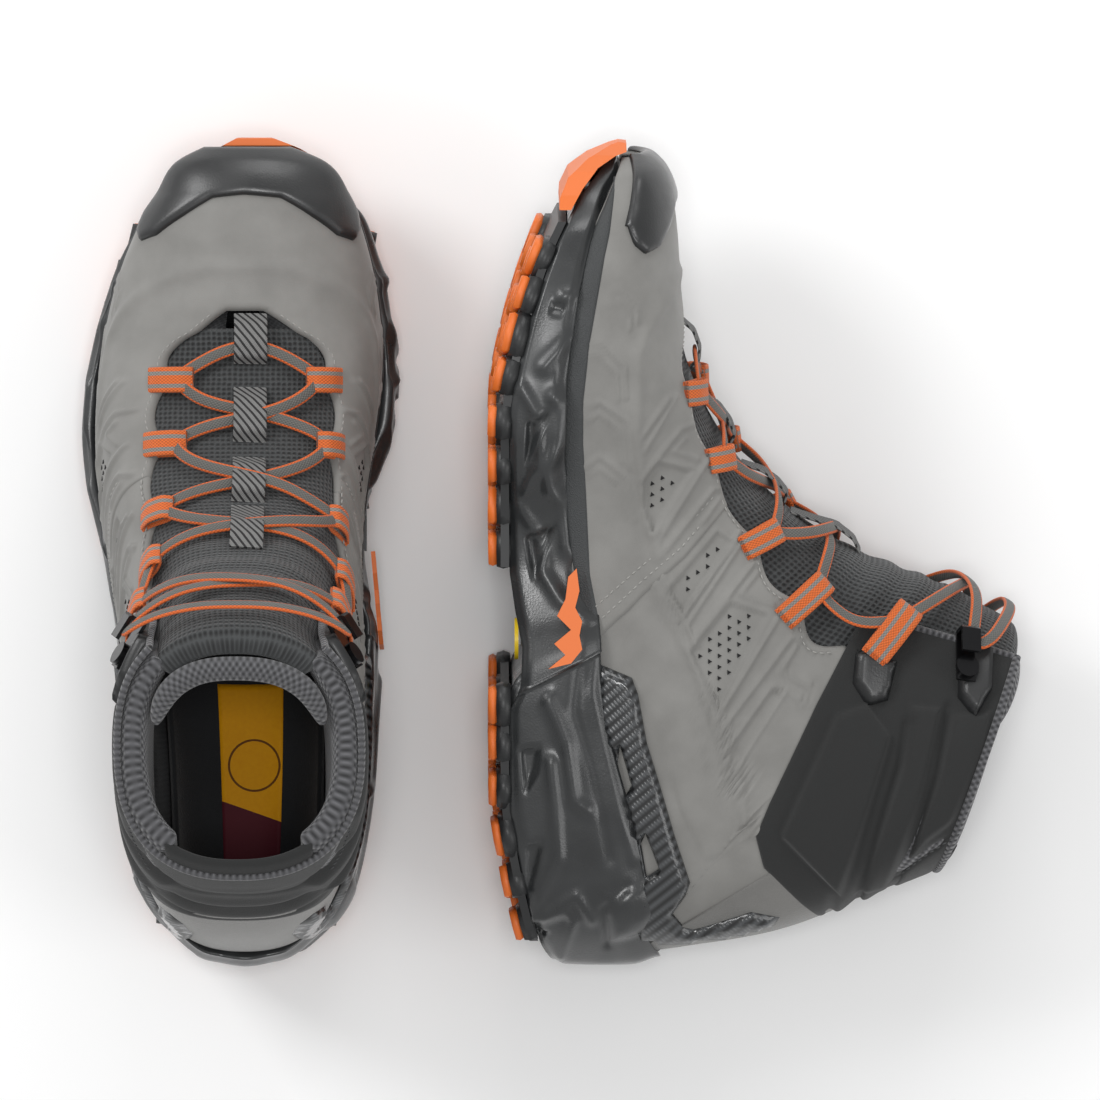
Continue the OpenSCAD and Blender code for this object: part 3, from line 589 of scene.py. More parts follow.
path, away = sole_path(1.6)
start = int(np.argmax(path[:, 1]))          # the toe, so that neither cup is cut where the path closes
path, away = np.roll(path, -start, 0), np.roll(away, -start, 0)
CRADLE_END, MIDSOLE_END = 111.3, 110.6      # the two cups overlap a little where they meet
heel = path[:, 1] < CRADLE_END
cradle_path, cradle_away = path[heel], away[heel]
front = np.roll(np.arange(len(path)), len(path) // 2)
front = front[path[front, 1] > MIDSOLE_END]
toe_inset = 3.4 * ramp(path[front, 1], 270, 284)[:, None]
wall = cup_wall(path[front] - away[front] * toe_inset, away[front], MIDSOLE_RIM, SOLE_LOW,
                MIDSOLE_RIBS, [], MIDSOLE_POCKETS, None)
skin = wall.reshape(-1, 3), faces_out(wall.reshape(-1, 3), capped_tube(wall))
points, faces = joined(skin, sole_floor(112, 284, 4.5, SOLE_LOW))
both_boots("midsole", points, faces, sole_foam, ["midsole"])

wall = cup_wall(cradle_path, cradle_away, CRADLE_RIM, SOLE_LOW, CRADLE_RIBS, CRADLE_GROOVES,
                CRADLE_POCKETS, CRADLE_BULGE, rows=42)
skin = wall.reshape(-1, 3), faces_out(wall.reshape(-1, 3), capped_tube(wall))
points, faces = joined(skin, sole_floor(6, 111, 4.5, SOLE_LOW))
both_boots("heel_cradle", points, faces, sole_foam, ["heel_cradle"])


def keep_part(node, finish):
    """Keeps the CAD shape of a moulded part on both boots, and gives it its finish"""
    for side in ("left", "right"):
        kept = frame["nodes"][side + "_" + node].data.materials
        kept.clear()
        kept.append(finish)


keep_part("outsole", sole_rubber)


# ---- Lugs ---------------------------------------------------------------------------------
# Orange treads moulded on dark blocks under the outsole, longer at the edges than inside.
# One tree of Geometry Nodes sets a bevelled block at each place, by its size and direction.
def block_tree(name, kind):
    """Geometry Nodes tree: one small part of the given kind at each point, turned and sized"""
    tree = bpy.data.node_groups.new(name, "GeometryNodeTree")
    tree.interface.new_socket("Geometry", in_out="INPUT", socket_type="NodeSocketGeometry")
    for label, value in (("Length", 0.01), ("Width", 0.004), ("Height", 0.004)):
        size_input = tree.interface.new_socket(label, in_out="INPUT", socket_type="NodeSocketFloat")
        size_input.default_value = value
    tree.interface.new_socket("Finish", in_out="INPUT", socket_type="NodeSocketMaterial")
    tree.interface.new_socket("Geometry", in_out="OUTPUT", socket_type="NodeSocketGeometry")

    def node(node_kind, **settings):
        made = tree.nodes.new(node_kind)
        for key, value in settings.items():
            setattr(made, key, value)
        return made

    given, result = node("NodeGroupInput"), node("NodeGroupOutput")
    link = tree.links.new
    if kind == "block":
        part = node("GeometryNodeMeshCube")
        part.inputs["Size"].default_value = (1, 1, 1)
        for k in (1, 2, 3):
            part.inputs[k].default_value = 3
        shape = part.outputs["Mesh"]
    elif kind == "bead":
        part = node("GeometryNodeMeshUVSphere")
        part.inputs["Segments"].default_value = 8
        part.inputs["Rings"].default_value = 5
        part.inputs["Radius"].default_value = 0.5
        shape = part.outputs["Mesh"]
    else:
        part = node("GeometryNodeMeshCylinder")
        part.inputs["Vertices"].default_value = 3
        part.inputs["Radius"].default_value = 0.5
        part.inputs["Depth"].default_value = 1.0
        shape = part.outputs["Mesh"]
    if kind == "block":                     # draw the corners in, so that the block has soft edges
        place = node("GeometryNodeInputPosition")
        length = node("ShaderNodeVectorMath", operation="LENGTH")
        link(place.outputs[0], length.inputs[0])
        pull = node("ShaderNodeMapRange")
        for k, value in ((1, 0.62), (2, 0.87), (3, 1.0), (4, 0.86)):
            pull.inputs[k].default_value = value
        link(length.outputs["Value"], pull.inputs[0])
        scaled = node("ShaderNodeVectorMath", operation="SCALE")
        link(place.outputs[0], scaled.inputs[0])
        link(pull.outputs[0], scaled.inputs["Scale"])
        moved = node("GeometryNodeSetPosition")
        link(shape, moved.inputs["Geometry"])
        link(scaled.outputs[0], moved.inputs["Position"])
        shape = moved.outputs["Geometry"]
    size = node("ShaderNodeCombineXYZ")
    for axis, label in enumerate(("Length", "Width", "Height")):
        link(given.outputs[label], size.inputs[axis])
    own = node("GeometryNodeInputNamedAttribute", data_type="FLOAT_VECTOR")
    own.inputs["Name"].default_value = "size"
    full = node("ShaderNodeVectorMath", operation="MULTIPLY")
    link(size.outputs[0], full.inputs[0])
    link(own.outputs["Attribute"], full.inputs[1])
    turns = []
    for label, axis, pivot in (("out", "Z", "AUTO"), ("along", "X", "Z")):
        read = node("GeometryNodeInputNamedAttribute", data_type="FLOAT_VECTOR")
        read.inputs["Name"].default_value = label
        align = node("FunctionNodeAlignRotationToVector", axis=axis, pivot_axis=pivot)
        link(read.outputs["Attribute"], align.inputs["Vector"])
        turns.append(align)
    link(turns[0].outputs[0], turns[1].inputs["Rotation"])
    spots = node("GeometryNodeInstanceOnPoints")
    link(given.outputs["Geometry"], spots.inputs["Points"])
    link(shape, spots.inputs["Instance"])
    link(turns[1].outputs[0], spots.inputs["Rotation"])
    link(full.outputs[0], spots.inputs["Scale"])
    real = node("GeometryNodeRealizeInstances")
    link(spots.outputs[0], real.inputs[0])
    finish = node("GeometryNodeSetMaterial")
    link(real.outputs[0], finish.inputs["Geometry"])
    link(given.outputs["Finish"], finish.inputs["Material"])
    link(finish.outputs[0], result.inputs[0])
    return tree


TREES = {kind: block_tree("set_" + kind, kind) for kind in ("block", "bead", "hole")}


def set_out(name, kind, places, outs, alongs, size, finish, replaced=(), moves="boot",
            sizes=None):
    """Small parts of one kind at the given places on both boots. Sizes in millimetres."""
    sizes = np.ones((len(places), 3)) if sizes is None else np.asarray(sizes, float)
    for side in ("left", "right"):
        mesh = bpy.data.meshes.new("places")
        mesh.from_pydata(placed(side, places).tolist(), [], [])
        for label, values in (("out", turned_to(side, np.asarray(outs, float))),
                              ("along", turned_to(side, np.asarray(alongs, float))), ("size", sizes)):
            mesh.attributes.new(label, "FLOAT_VECTOR", "POINT").data.foreach_set("vector", values.ravel())
        base = bpy.data.objects.new("places", mesh)
        bpy.context.scene.collection.objects.link(base)
        nodes = base.modifiers.new("set", "NODES")
        tree = TREES[kind]
        nodes.node_group = tree
        for item in tree.interface.items_tree:
            if item.in_out == "INPUT" and item.name in ("Length", "Width", "Height"):
                nodes[item.identifier] = size[("Length", "Width", "Height").index(item.name)] / 1000
            if item.in_out == "INPUT" and item.name == "Finish":
                nodes[item.identifier] = finish
        ready = base.evaluated_get(bpy.context.evaluated_depsgraph_get())
        made = bpy.data.meshes.new_from_object(ready)
        made.name = side + "_" + name
        bpy.data.objects.remove(base)
        for label in ("out", "along", "size"):
            if label in made.attributes:
                made.attributes.remove(made.attributes[label])
        co = np.empty(len(made.vertices) * 3)
        made.vertices.foreach_get("co", co)
        co = co.reshape(-1, 3)
        back = co - left_origin if side == "left" else ((co - right_origin) @ turn)[:, [2, 1, 0]]
        made.attributes.new("boot", "FLOAT_VECTOR", "POINT").data.foreach_set("vector", back.ravel())
        made.shade_smooth()
        piece = bpy.data.objects.new(side + "_" + name + "_finish", made)
        bpy.context.scene.collection.objects.link(piece)
        settle(piece, side, replaced, moves)


LUG_INSET = 7.3              # from the edge of the sole to the middle of an outer lug


def lug_places(rows, long, inset, centre):
    """Places and sizes of lugs: rows of four across, with the outer two longest"""
    places, sizes = [], []
    for y in rows:
        wide_in, wide_out = lookup(y, INNER_EDGE), lookup(y, OUTER_EDGE)
        for x, edge in ((wide_in - inset, True), (-wide_out + inset, True),
                        (wide_in - inset - 19, False), (-wide_out + inset + 19, False)):
            places.append((x, y if edge else y - 4, lookup(y if edge else y - 4, SOLE_LOW)))
            vary = 1 + 0.14 * math.sin(2.4 * y + 1.3 * (x > 0))
            high = 1.0 - 0.10 * abs(math.sin(1.9 * y + 0.8 * (x > 0)))
            sizes.append((long * vary * (1.0 if edge else 0.8), 13.5 if edge else 11.5, high))
    for x, y in centre:
        places.append((x, y, lookup(y, SOLE_LOW)))
        sizes.append((long * 0.8, 12, 1.0))
    return np.array(places, float), np.array(sizes, float)


def lug_rows(rows, long, centre):
    """Dark blocks with orange treads below them, pointing down from the outsole"""
    places, sizes = lug_places(rows, long, LUG_INSET, centre)
    slope = (lookup(places[:, 1] + 6, SOLE_LOW) - lookup(places[:, 1] - 6, SOLE_LOW)) / 12
    out = np.stack([np.zeros_like(slope), slope, -np.ones_like(slope)], 1)
    out /= np.linalg.norm(out, axis=1, keepdims=True)
    turn = 0.24 * np.sin(2.9 * places[:, 1] + places[:, 0])         # no two lugs lie quite alike
    along = np.stack([turn, np.ones_like(slope), slope], 1)
    return places, sizes, out, along


orange_rubber = plain_finish("orange_rubber", srgb(208, 96, 30), srgb(226, 116, 42), 0.48, 1500.0,
                             0.2, 0.0003)
LUG_ROWS = {"lugs_front": ([156, 171, 187, 203, 219, 233, 247, 260], 14.0,
                           [(-4, 163), (-4, 179), (-4, 194), (-3, 226), (-3, 240)]),
            "lugs_heel": ([20, 36, 53, 70, 86, 100], 13.0, [])}
for name, (rows, long, centre) in LUG_ROWS.items():
    places, sizes, out, along = lug_rows(rows, long, centre)
    deep = out * 5.2                        # from the midsole's underside through the plate
    set_out(name + "_blocks", "block", places + deep * 0.42, out, along, (1, 1, 6.0), sole_rubber,
            sizes=sizes * (1.08, 1.04, 1.0))
    set_out(name, "block", places + out * 6.0, out, along, (1, 1, 3.8), orange_rubber,
            [name], sizes=sizes * (0.94, 0.9, 1.0))


# ---- Leather upper: vamp and the two quarters ---------------------------------------------
# Grey nubuck with ribs, panels and an edge band pressed into it. The vamp runs back along both
# sides of the throat as far as the seam, where it is stitched over the quarters.
THROAT_IN = [(4.3, 5), (4.7, 20), (5.3, 29), (6.3, 36), (7.8, 46), (9.2, 51), (10.4, 55)]
THROAT_OUT = [(4.3, 4), (4.7, 15), (5.3, 22), (6.3, 23), (7.8, 30), (9.2, 41), (10.4, 49)]
LOOP_SECTIONS = (5.3, 6.33, 7.8, 9.1)
SEAM = [(42.8, 125.7), (57, 140), (70.3, 152.3), (80.7, 165.2)]
FEATHER = 112                # angle at which the leather is tucked under, below the sole's rim
VAMP_LINES = [
    ([(66.1, 252.6), (61.5, 245), (55.7, 235.3), (52.8, 226.6), (52.5, 211.5), (51.9, 198.9),
      (53.5, 186), (55.4, 176.3), (58.7, 162), (60.6, 153.6)], 0.9, 2.2),
    ([(43, 249.1), (47, 250.9), (52.5, 243.3), (52.2, 238.1)], 0.55, 0.8),
    ([(41.5, 245), (46.2, 246.6), (50, 240.5), (49.8, 236)], 0.4, 0.7),
    ([(40.1, 231.8), (48.2, 222.5), (48.8, 211.5)], 0.55, 0.8),
    ([(38.5, 228.5), (45.6, 220), (46, 211)], 0.4, 0.7),
    ([(35.4, 206.7), (39.3, 210.6), (49, 202.8), (50.3, 186)], 0.55, 0.8),
    ([(36.5, 203), (39.5, 206), (46.2, 200.6), (47.3, 188)], 0.4, 0.7),
    ([(35.4, 186.6), (39.9, 190.5), (49.6, 182), (52.2, 166.5)], 0.55, 0.8),
    ([(36.6, 183), (40, 186), (46.8, 180), (49, 168)], 0.4, 0.7),
    ([(53.5, 196.3), (63.2, 211.2)], 0.7, 0.9), ([(54.1, 190.5), (65.5, 211.2)], 0.7, 0.9),
    ([(54.1, 182), (67.1, 199.6), (72.9, 200.9)], 0.7, 0.9),
    ([(69, 196.3), (65.1, 191.8), (72.9, 188.2)], 0.6, 0.9),
    ([(60, 158.8), (76.8, 187.9)], 0.8, 1.0),
    ([(61.3, 153.6), (78.7, 176.9), (84.5, 176.9)], 0.8, 1.0),
    ([(75.5, 165.2), (81.3, 173.7)], 0.6, 0.9)]
QUARTER_LINES = [
    ([(68.4, 130.9), (89.1, 161.4)], 0.8, 1.0), ([(70.3, 127.7), (92.3, 162)], 0.8, 1.0),
    ([(72.3, 121.8), (94.3, 150.3), (99.4, 150.3)], 0.8, 1.0),
    ([(95.5, 146.5), (89.7, 139.3), (101, 135.1)], 0.7, 1.0),
    ([(81.7, 94), (103, 130)], 0.8, 1.0),
    ([(83.6, 90.3), (108.5, 123.6), (114, 123.6), (117.8, 128.2)], 0.8, 1.0),
    ([(109.9, 119.9), (104.8, 111.6), (115, 106.5)], 0.7, 1.0),
    ([(102, 105.1), (115.9, 100.5)], 0.7, 1.0),
    ([(58.6, 145.8), (67, 128), (75.2, 110.6), (82, 92), (87.3, 74.6), (94.7, 52.4)], 0.8, 1.1),
    ([(62.0, 146.6), (70.4, 129.3), (78.6, 111.9), (85.4, 93.3), (90.7, 75.8), (98.0, 53.7)], 0.8, 1.1)]
PANELS = [[(54.8, 180.8), (60, 187.6), (71.3, 184), (58.3, 162), (55.4, 172)],
          [(81.3, 161.4), (86.5, 157.8), (69.7, 133.5), (64.5, 141.3)],
          [(72.5, 119), (86.3, 136.1), (99.7, 131.5), (83.1, 99.5), (75.2, 113.4)],
          [(85.9, 82), (102, 105.1), (105.7, 104.2), (88.2, 76.4)]]
HEEL_BAND = [(56, 137), (63.5, 122), (71, 105), (77.5, 87), (83, 69), (90, 47), (79, 44), (70, 62),
             (63.5, 82), (57.5, 100), (48, 128)]


def throat(t, side):
    """Angle of the throat's edge: full at each lace loop, cut back in a scallop between them"""
    edge = lookup(t, THROAT_IN if side > 0 else THROAT_OUT)
    scallop = np.zeros(np.shape(t))
    stops = (4.6,) + LOOP_SECTIONS + (10.3,)
    for low, high in zip(stops[:-1], stops[1:]):
        f = np.clip((t - low) / (high - low), 0, 1)
        scallop += np.sin(np.pi * f) ** 1.2
    return edge + 5.5 * scallop * (t > 4.6) * (t < 10.3)


def above_line(line):
    """Test for section_where: how far a point lies behind a line of (Z, Y) corners"""
    corners = np.asarray(line, float)
    order = np.argsort(corners[:, 0])
    z, y = corners[order, 0], corners[order, 1]
    slope_low = (y[1] - y[0]) / (z[1] - z[0])
    slope_high = (y[-1] - y[-2]) / (z[-1] - z[-2])

    def wanted(p):
        line_y = np.interp(p[..., 2], z, y)
        line_y = line_y + np.minimum(p[..., 2] - z[0], 0) * slope_low
        line_y = line_y + np.maximum(p[..., 2] - z[-1], 0) * slope_high
        return line_y - p[..., 1]
    return wanted


def over_edge(front, back, drop):
    """Test for section_where: height above the ankle's gap, a wedge open to front and back"""
    def wanted(p):
        y, z = p[..., 1] - ANKLE_Y, p[..., 2] - ANKLE_Z - drop
        return np.where(y > 0, z - y * np.tan(np.radians(24 + front)), z + y * np.tan(np.radians(38 + back)))
    return wanted


def side_grid(start, finish, edge, low_edge, rows, cols, side):
    """Grid over one side: rows from start to finish, columns from the throat to the sole"""
    t_mid = np.array([(np.min(start(np.array([90.0]))) + np.max(finish(np.array([90.0])))) / 2])
    a_mid = evenly(t_mid, edge(t_mid), low_edge(t_mid), cols)[0]
    g = (a_mid - a_mid[0]) / (a_mid[-1] - a_mid[0])
    first = edge(np.full(cols + 1, 7.6)) * (1 - g) + low_edge(np.full(cols + 1, 7.6)) * g
    last = edge(np.full(cols + 1, 9.9)) * (1 - g) + low_edge(np.full(cols + 1, 9.9)) * g
    for _ in range(3):
        t0, t1 = start(first * side), finish(last * side)
        first = edge(t0) * (1 - g) + low_edge(t0) * g
        last = edge(t1) * (1 - g) + low_edge(t1) * g
    share = np.linspace(0, 1, rows + 1)[:, None]
    t = t0 + (t1 - t0) * share
    a = edge(t) * (1 - g) + low_edge(t) * g
    return t, a * side


def pressed(p, lines):
    """Height that the pressed lines and recessed panels add to the leather"""
    height = np.zeros(p.shape[:-1])
    for line, amount, width in lines:
        height = np.maximum(height, amount * np.exp(-(from_line(p, line) / width) ** 2))
    for outline in PANELS:
        deep = depth_within(p, outline)
        height = height * (1 - ramp(deep, -0.4, 0.4)) - 0.55 * ramp(deep, -0.5, 0.5)
        height += 0.35 * np.exp(-((deep + 0.9) / 0.8) ** 2)
    return height


def cloth_map(t, a, d):
    """Flat map of a grid layer in millimetres: along its middle row and column"""
    p = on_last(t, a, d)
    u = np.concatenate([np.zeros((p.shape[0], 1)),
                        np.cumsum(np.linalg.norm(np.diff(p, axis=1), axis=-1), 1)], 1)
    u -= u[:, [u.shape[1] // 2]]
    v = np.concatenate([np.zeros((1, p.shape[1])),
                        np.cumsum(np.linalg.norm(np.diff(p, axis=0), axis=-1), 0)], 0)
    return np.stack([u, np.broadcast_to(v[:, [v.shape[1] // 2]], u.shape)], -1).reshape(-1, 2)


def layer_piece(name, t, a, low, high, finish, replaced=(), moves="boot", keep=None, radius=1.6,
                relief=None, share=0.3):
    """A closed layer over a grid of places, between two distances, on both boots"""
    rows, cols = t.shape
    faces = weave_grid(rows, cols, keep)
    flat_t, flat_a = t.ravel(), a.ravel()
    high_at, far = rounded(flat_t, flat_a, faces, low, high, radius, share)
    if relief is not None:
        high_at = high_at + relief(on_last(flat_t, flat_a)) * ramp(far, 0.5, 2.5)
    cloth = cloth_map(t, a, 0)
    points, skin, used = closed_layer(on_last(flat_t, flat_a, high_at), on_last(flat_t, flat_a, low), faces)
    both_boots(name, points, skin, finish, replaced, moves, cloth[used])


def leather_finish():
    """Nubuck: fine nap and soft mottling"""
    made, tree, shader, place = new_finish("nubuck", 0.62, Sheen_Weight=0.12, Sheen_Roughness=0.5,
                                           Specular_IOR_Level=0.35)
    grained = use_group(tree, grain, place, Scale=2600.0, Roughen=0.75)
    tone = add_node(tree, "MapRange", {1: 0.3, 2: 0.7}, {0: grained.outputs["Mottle"]})
    mix = add_node(tree, "Mix", {6: srgb(117, 116, 113), 7: srgb(130, 129, 126)}, {0: tone.outputs[0]},
                   data_type="RGBA")
    tree.links.new(mix.outputs[2], shader.inputs["Base Color"])
    bump_from(tree, shader, grained.outputs["Height"], 0.25, 0.00025)
    return made


nubuck = leather_finish()

# Vamp: one sheet round the toe, with a wing along each side of the throat back to the seam
WING_ROWS, TOE_ROWS, SIDE_COLS, TOE_COLS = 88, 62, 62, 8
seam_test = above_line(SEAM)
toe_t = np.concatenate([np.linspace(0.04, 1.0, 14, endpoint=False), np.linspace(1.0, 4.3, TOE_ROWS - 13)])


def vamp_side(side):
    """Toe rows and wing rows of one side as one grid, from the throat out to the sole"""
    edge = lambda t: throat(t, side)
    low_edge = lambda t: np.full(np.shape(t), float(FEATHER))
    start = lambda a: np.full(np.shape(a), 4.3)
    finish = lambda a: section_where(a, seam_test, 4.4, 11)
    t, a = side_grid(start, finish, edge, low_edge, WING_ROWS, SIDE_COLS, side)
    g = (np.abs(a[0]) - np.abs(a[0, 0])) / (FEATHER - np.abs(a[0, 0]))
    first = np.full(len(toe_t), float(np.abs(a[0, 0])))
    even = evenly(toe_t, first, np.full(len(toe_t), float(FEATHER)), SIDE_COLS)
    blend_in = ramp(toe_t, 3.3, 4.3)[:, None]
    own = first[:, None] + (FEATHER - first[:, None]) * g
    toe_a = even * (1 - blend_in) + own * blend_in
    return (np.concatenate([np.broadcast_to(toe_t[:, None], toe_a.shape), t[1:]]),
            np.concatenate([toe_a * side, a[1:]]))


t_in, a_in = vamp_side(1)
t_out, a_out = vamp_side(-1)
rows = len(t_in)
middle = np.linspace(0, 1, TOE_COLS + 1)[1:-1]
a_mid = a_out[:, :1] + (a_in[:, :1] - a_out[:, :1]) * middle
t_mid = t_out[:, :1] + (t_in[:, :1] - t_out[:, :1]) * middle
vamp_t = np.concatenate([t_out[:, ::-1], t_mid, t_in], 1)
vamp_a = np.concatenate([a_out[:, ::-1], a_mid, a_in], 1)
keep = np.ones((rows - 1, vamp_t.shape[1] - 1), bool)
keep[len(toe_t) - 1:, SIDE_COLS:SIDE_COLS + TOE_COLS] = False
layer_piece("vamp", vamp_t, vamp_a, 0.4, 2.7, nubuck, ["vamp"], keep=keep,
            relief=lambda p: 1.25 * pressed(p, VAMP_LINES))

# Quarters: from the seam back to the ankle's gap, with the heel band and its ridges
BACK_EDGE = [(70.2, 17.7), (101.6, 37.1)]
back_test = above_line(BACK_EDGE)
CUFF_EDGE = [(0, 132), (16.8, 127), (28, 114), (41.3, 100.2), (52.4, 97), (64, 101.5), (99.5, 117.8),
             (119, 127.9), (135, 136)]
quarter_finish = lambda p: p[..., 2] - lookup(p[..., 1], CUFF_EDGE) - 6     # runs up under the cuff


def leather_low(t):
    """Angle where the quarter stops below: at the sole, and behind at the suede heel panel"""
    t = np.asarray(t, float)
    sole = lookup(t, [(7, FEATHER), (9, FEATHER), (9.6, 125), (10.1, 145), (10.5, 165), (10.8, 178)])
    behind = angle_where(t, back_test, 92, 179)
    return np.where(t > 10.4, np.minimum(sole, behind), sole)


for name, side in (("medial_quarter", 1), ("lateral_quarter", -1)):
    t, a = side_grid(lambda a: section_where(a, seam_test, 4.4, 11) - 0.12,
                     lambda a: section_where(np.abs(a), quarter_finish, 8, 14.6),
                     lambda t: throat(t, side), leather_low, 110, 84, side)
    layer_piece(name, t, a, 0.2, 2.15, nubuck, [name],
                relief=lambda p: 1.25 * pressed(p, QUARTER_LINES)
                + 0.5 * ramp(depth_within(p, HEEL_BAND), -1.0, 1.5))


# ---- Toe: rubber cap, rand and bumper ------------------------------------------------------
# A thick moulded cap is glued over the toe, with a dark rand along the sole's rim behind it.
# The orange bumper below them is the outsole's own rubber, turned up over the toe.
CAP_REACH = [(0, 2.12), (18, 2.22), (34, 2.72), (48, 3.1), (62, 3.2), (72, 3.02), (80, 2.6)]
cap_angles = evenly(np.array([1.6]), np.array([-82.0]), np.array([82.0]), 110)[0]
share = np.linspace(0, 1, 56)[:, None]
cap_t = 0.03 + (lookup(np.abs(cap_angles), CAP_REACH) - 0.03) * share
cap_a = np.broadcast_to(cap_angles, cap_t.shape).copy()
cap_rubber = moulded_finish("cap_rubber", srgb(26, 27, 28), srgb(38, 39, 40), 0.40, 0.35)


def cap_relief(p):
    """Raised lip along the cap's rear edge and a groove ahead of it"""
    groove = from_line(p, [(56, 295), (57.7, 293.7), (64.9, 285.6), (66.7, 279.2), (66.5, 273)])
    return -0.9 * np.exp(-(groove / 1.3) ** 2) * (np.abs(p[..., 0]) > 8)


layer_piece("toe_cap", cap_t, cap_a, 2.3, 5.0, cap_rubber, ["toe_cap"], radius=3.4,
            relief=cap_relief, share=0.15)

LEATHER_LOW = [(47, 292), (46.4, 283.9), (44.1, 270), (42.3, 261.9), (36.8, 230.4), (34.8, 210.8),
               (34.8, 195), (36, 175.4), (37.6, 147.8), (40.5, 133)]
low_z = sorted([(y, z) for z, y in LEATHER_LOW])
rand_t = np.linspace(1.0, 8.1, 150)
rand_finish = plain_finish("rand_rubber", srgb(46, 48, 49), srgb(60, 62, 63), 0.55, 2200.0, 0.5,
                           0.0004, roughen=0.15)
for name, side in (("rand_inner", 1), ("rand_outer", -1)):
    first = np.abs(angle_where(rand_t, lambda p: lookup(p[..., 1], low_z) - p[..., 2], 40 * side, 111 * side))
    last = np.maximum(first + 3, 108.0)
    a = evenly(rand_t, first * side, last * side, 14)
    t = np.broadcast_to(rand_t[:, None], a.shape).copy()
    layer_piece(name, t, a, 1.8, 3.3, rand_finish, ["rand"] if side > 0 else [],
                radius=1.4)
keep_part("toe_bumper", orange_rubber)


# ---- Heel: counter, suede panel and carbon clip --------------------------------------------
# A stiff board hides inside the heel. Grey suede covers it at the back, and a woven carbon
# clip is glued over both sides to hold the heel down in the cradle.
suede = plain_finish("heel_suede", srgb(98, 97, 95), srgb(118, 117, 114), 0.78, 1900.0, 0.5,
                     0.0005, Sheen_Weight=0.3)
panel_t = np.linspace(11.0, 14.0, 90)
front = np.clip(angle_where(panel_t, back_test, 92, 179.5) - 4, 95, 172)
a = evenly(panel_t, front, 360 - front, 80)
t = np.broadcast_to(panel_t[:, None], a.shape).copy()
over = quarter_finish(on_last(t, np.where(a > 180, 360 - a, a)))
keep = (over[:-1, :-1] < 2) & (over[1:, 1:] < 2) & (over[:-1, 1:] < 2)
layer_piece("heel_panel", t, a, 1.2, 2.9, suede, ["heel_panel"], radius=1.0, keep=keep)

CLIP = [(41, 115.3), (52.1, 110.2), (54.4, 104), (57.7, 86.6), (62.3, 71.8), (67.8, 53.3),
        (73.9, 35.7), (72.5, 31.1), (68, 24), (72, 19), (76, 18), (80, 19),
        (96.5, 24.8), (107, 22.5), (105, 19), (92, 15), (70, 12.5), (57, 14), (57.7, 36.6),
        (54, 55.1), (47.5, 78.3), (41, 99.5)]
CLIP_WINDOWS = [[(48.4, 86.6), (52.6, 71.8), (50.7, 68.1), (47.5, 78.3)],
                [(57.7, 54.2), (62.8, 41.3), (58.1, 38), (55.8, 49.6)]]


def locate(z, y):
    """Sections and angles of the places on the inner side that show at (Z, Y) from the side"""
    t, a = np.meshgrid(np.linspace(7, 15, 500), np.linspace(30, 176, 300), indexing="ij")
    t, a = t.ravel(), a.ravel()
    p = on_last(t, a)
    tree = kdtree.KDTree(len(p))
    for k, q in enumerate(p):
        tree.insert((q[1], q[2], 0), k)
    tree.balance()
    near = np.array([tree.find((b, c, 0))[1] for b, c in zip(y, z)])
    t, a = t[near].copy(), a[near].copy()
    for _ in range(4):
        p = on_last(t, a)[:, 1:]
        pt, pa = on_last(t + 1e-3, a)[:, 1:], on_last(t, a + 0.05)[:, 1:]
        jt, ja = (pt - p) / 1e-3, (pa - p) / 0.05
        miss = np.stack([y, z], 1) - p
        det = jt[:, 0] * ja[:, 1] - jt[:, 1] * ja[:, 0]
        det = np.where(np.abs(det) < 1e-4, 1e-4, det)
        t += np.clip((miss[:, 0] * ja[:, 1] - miss[:, 1] * ja[:, 0]) / det, -0.2, 0.2)
        a += np.clip((jt[:, 0] * miss[:, 1] - jt[:, 1] * miss[:, 0]) / det, -4, 4)
        a = np.clip(a, 25, 178)
    return t, a


def stepped(line, step):
    """Points along a closed line, a step apart"""
    line = np.asarray(line, float)
    out = []
    for s, e in zip(line, np.roll(line, -1, 0)):
        n = max(1, int(np.linalg.norm(e - s) / step))
        out += [tuple(s + (e - s) * k / n) for k in range(n)]
    return out


def side_patch(outline, holes, step=1.6):
    """Triangles of a flat shape on the side view, with its holes cut out"""
    points, edges = [], []
    for ring in [outline] + holes:
        ring = stepped(ring, step)
        first = len(points)
        points += ring
        edges += [(first + k, first + (k + 1) % len(ring)) for k in range(len(ring))]
    low, high = np.min(points, 0), np.max(points, 0)
    grid = np.stack(np.meshgrid(np.arange(low[0], high[0], step), np.arange(low[1], high[1], step)),
                    -1).reshape(-1, 2)
    as_points = np.concatenate([np.zeros((len(grid), 1)), grid[:, [1, 0]]], 1)
    inside = depth_within(as_points, outline) > step * 0.55
    for hole in holes:
        inside &= depth_within(as_points, hole) < -step * 0.55
    points += [tuple(g) for g in grid[inside]]
    result = geometry.delaunay_2d_cdt([Vector(p) for p in points], edges, [], 1, 1e-5)
    places, faces = np.array([tuple(v) for v in result[0]]), result[2]
    centre = np.array([places[list(f)].mean(0) for f in faces])
    as_points = np.concatenate([np.zeros((len(centre), 1)), centre[:, [1, 0]]], 1)
    good = np.ones(len(faces), bool)
    for hole in holes:
        good &= depth_within(as_points, hole) < 0
    return places, np.array([list(f) for f, g in zip(faces, good) if g])


PATCH_SHARE = 0.25           # of a patch's thickness that is left at its rounded edge


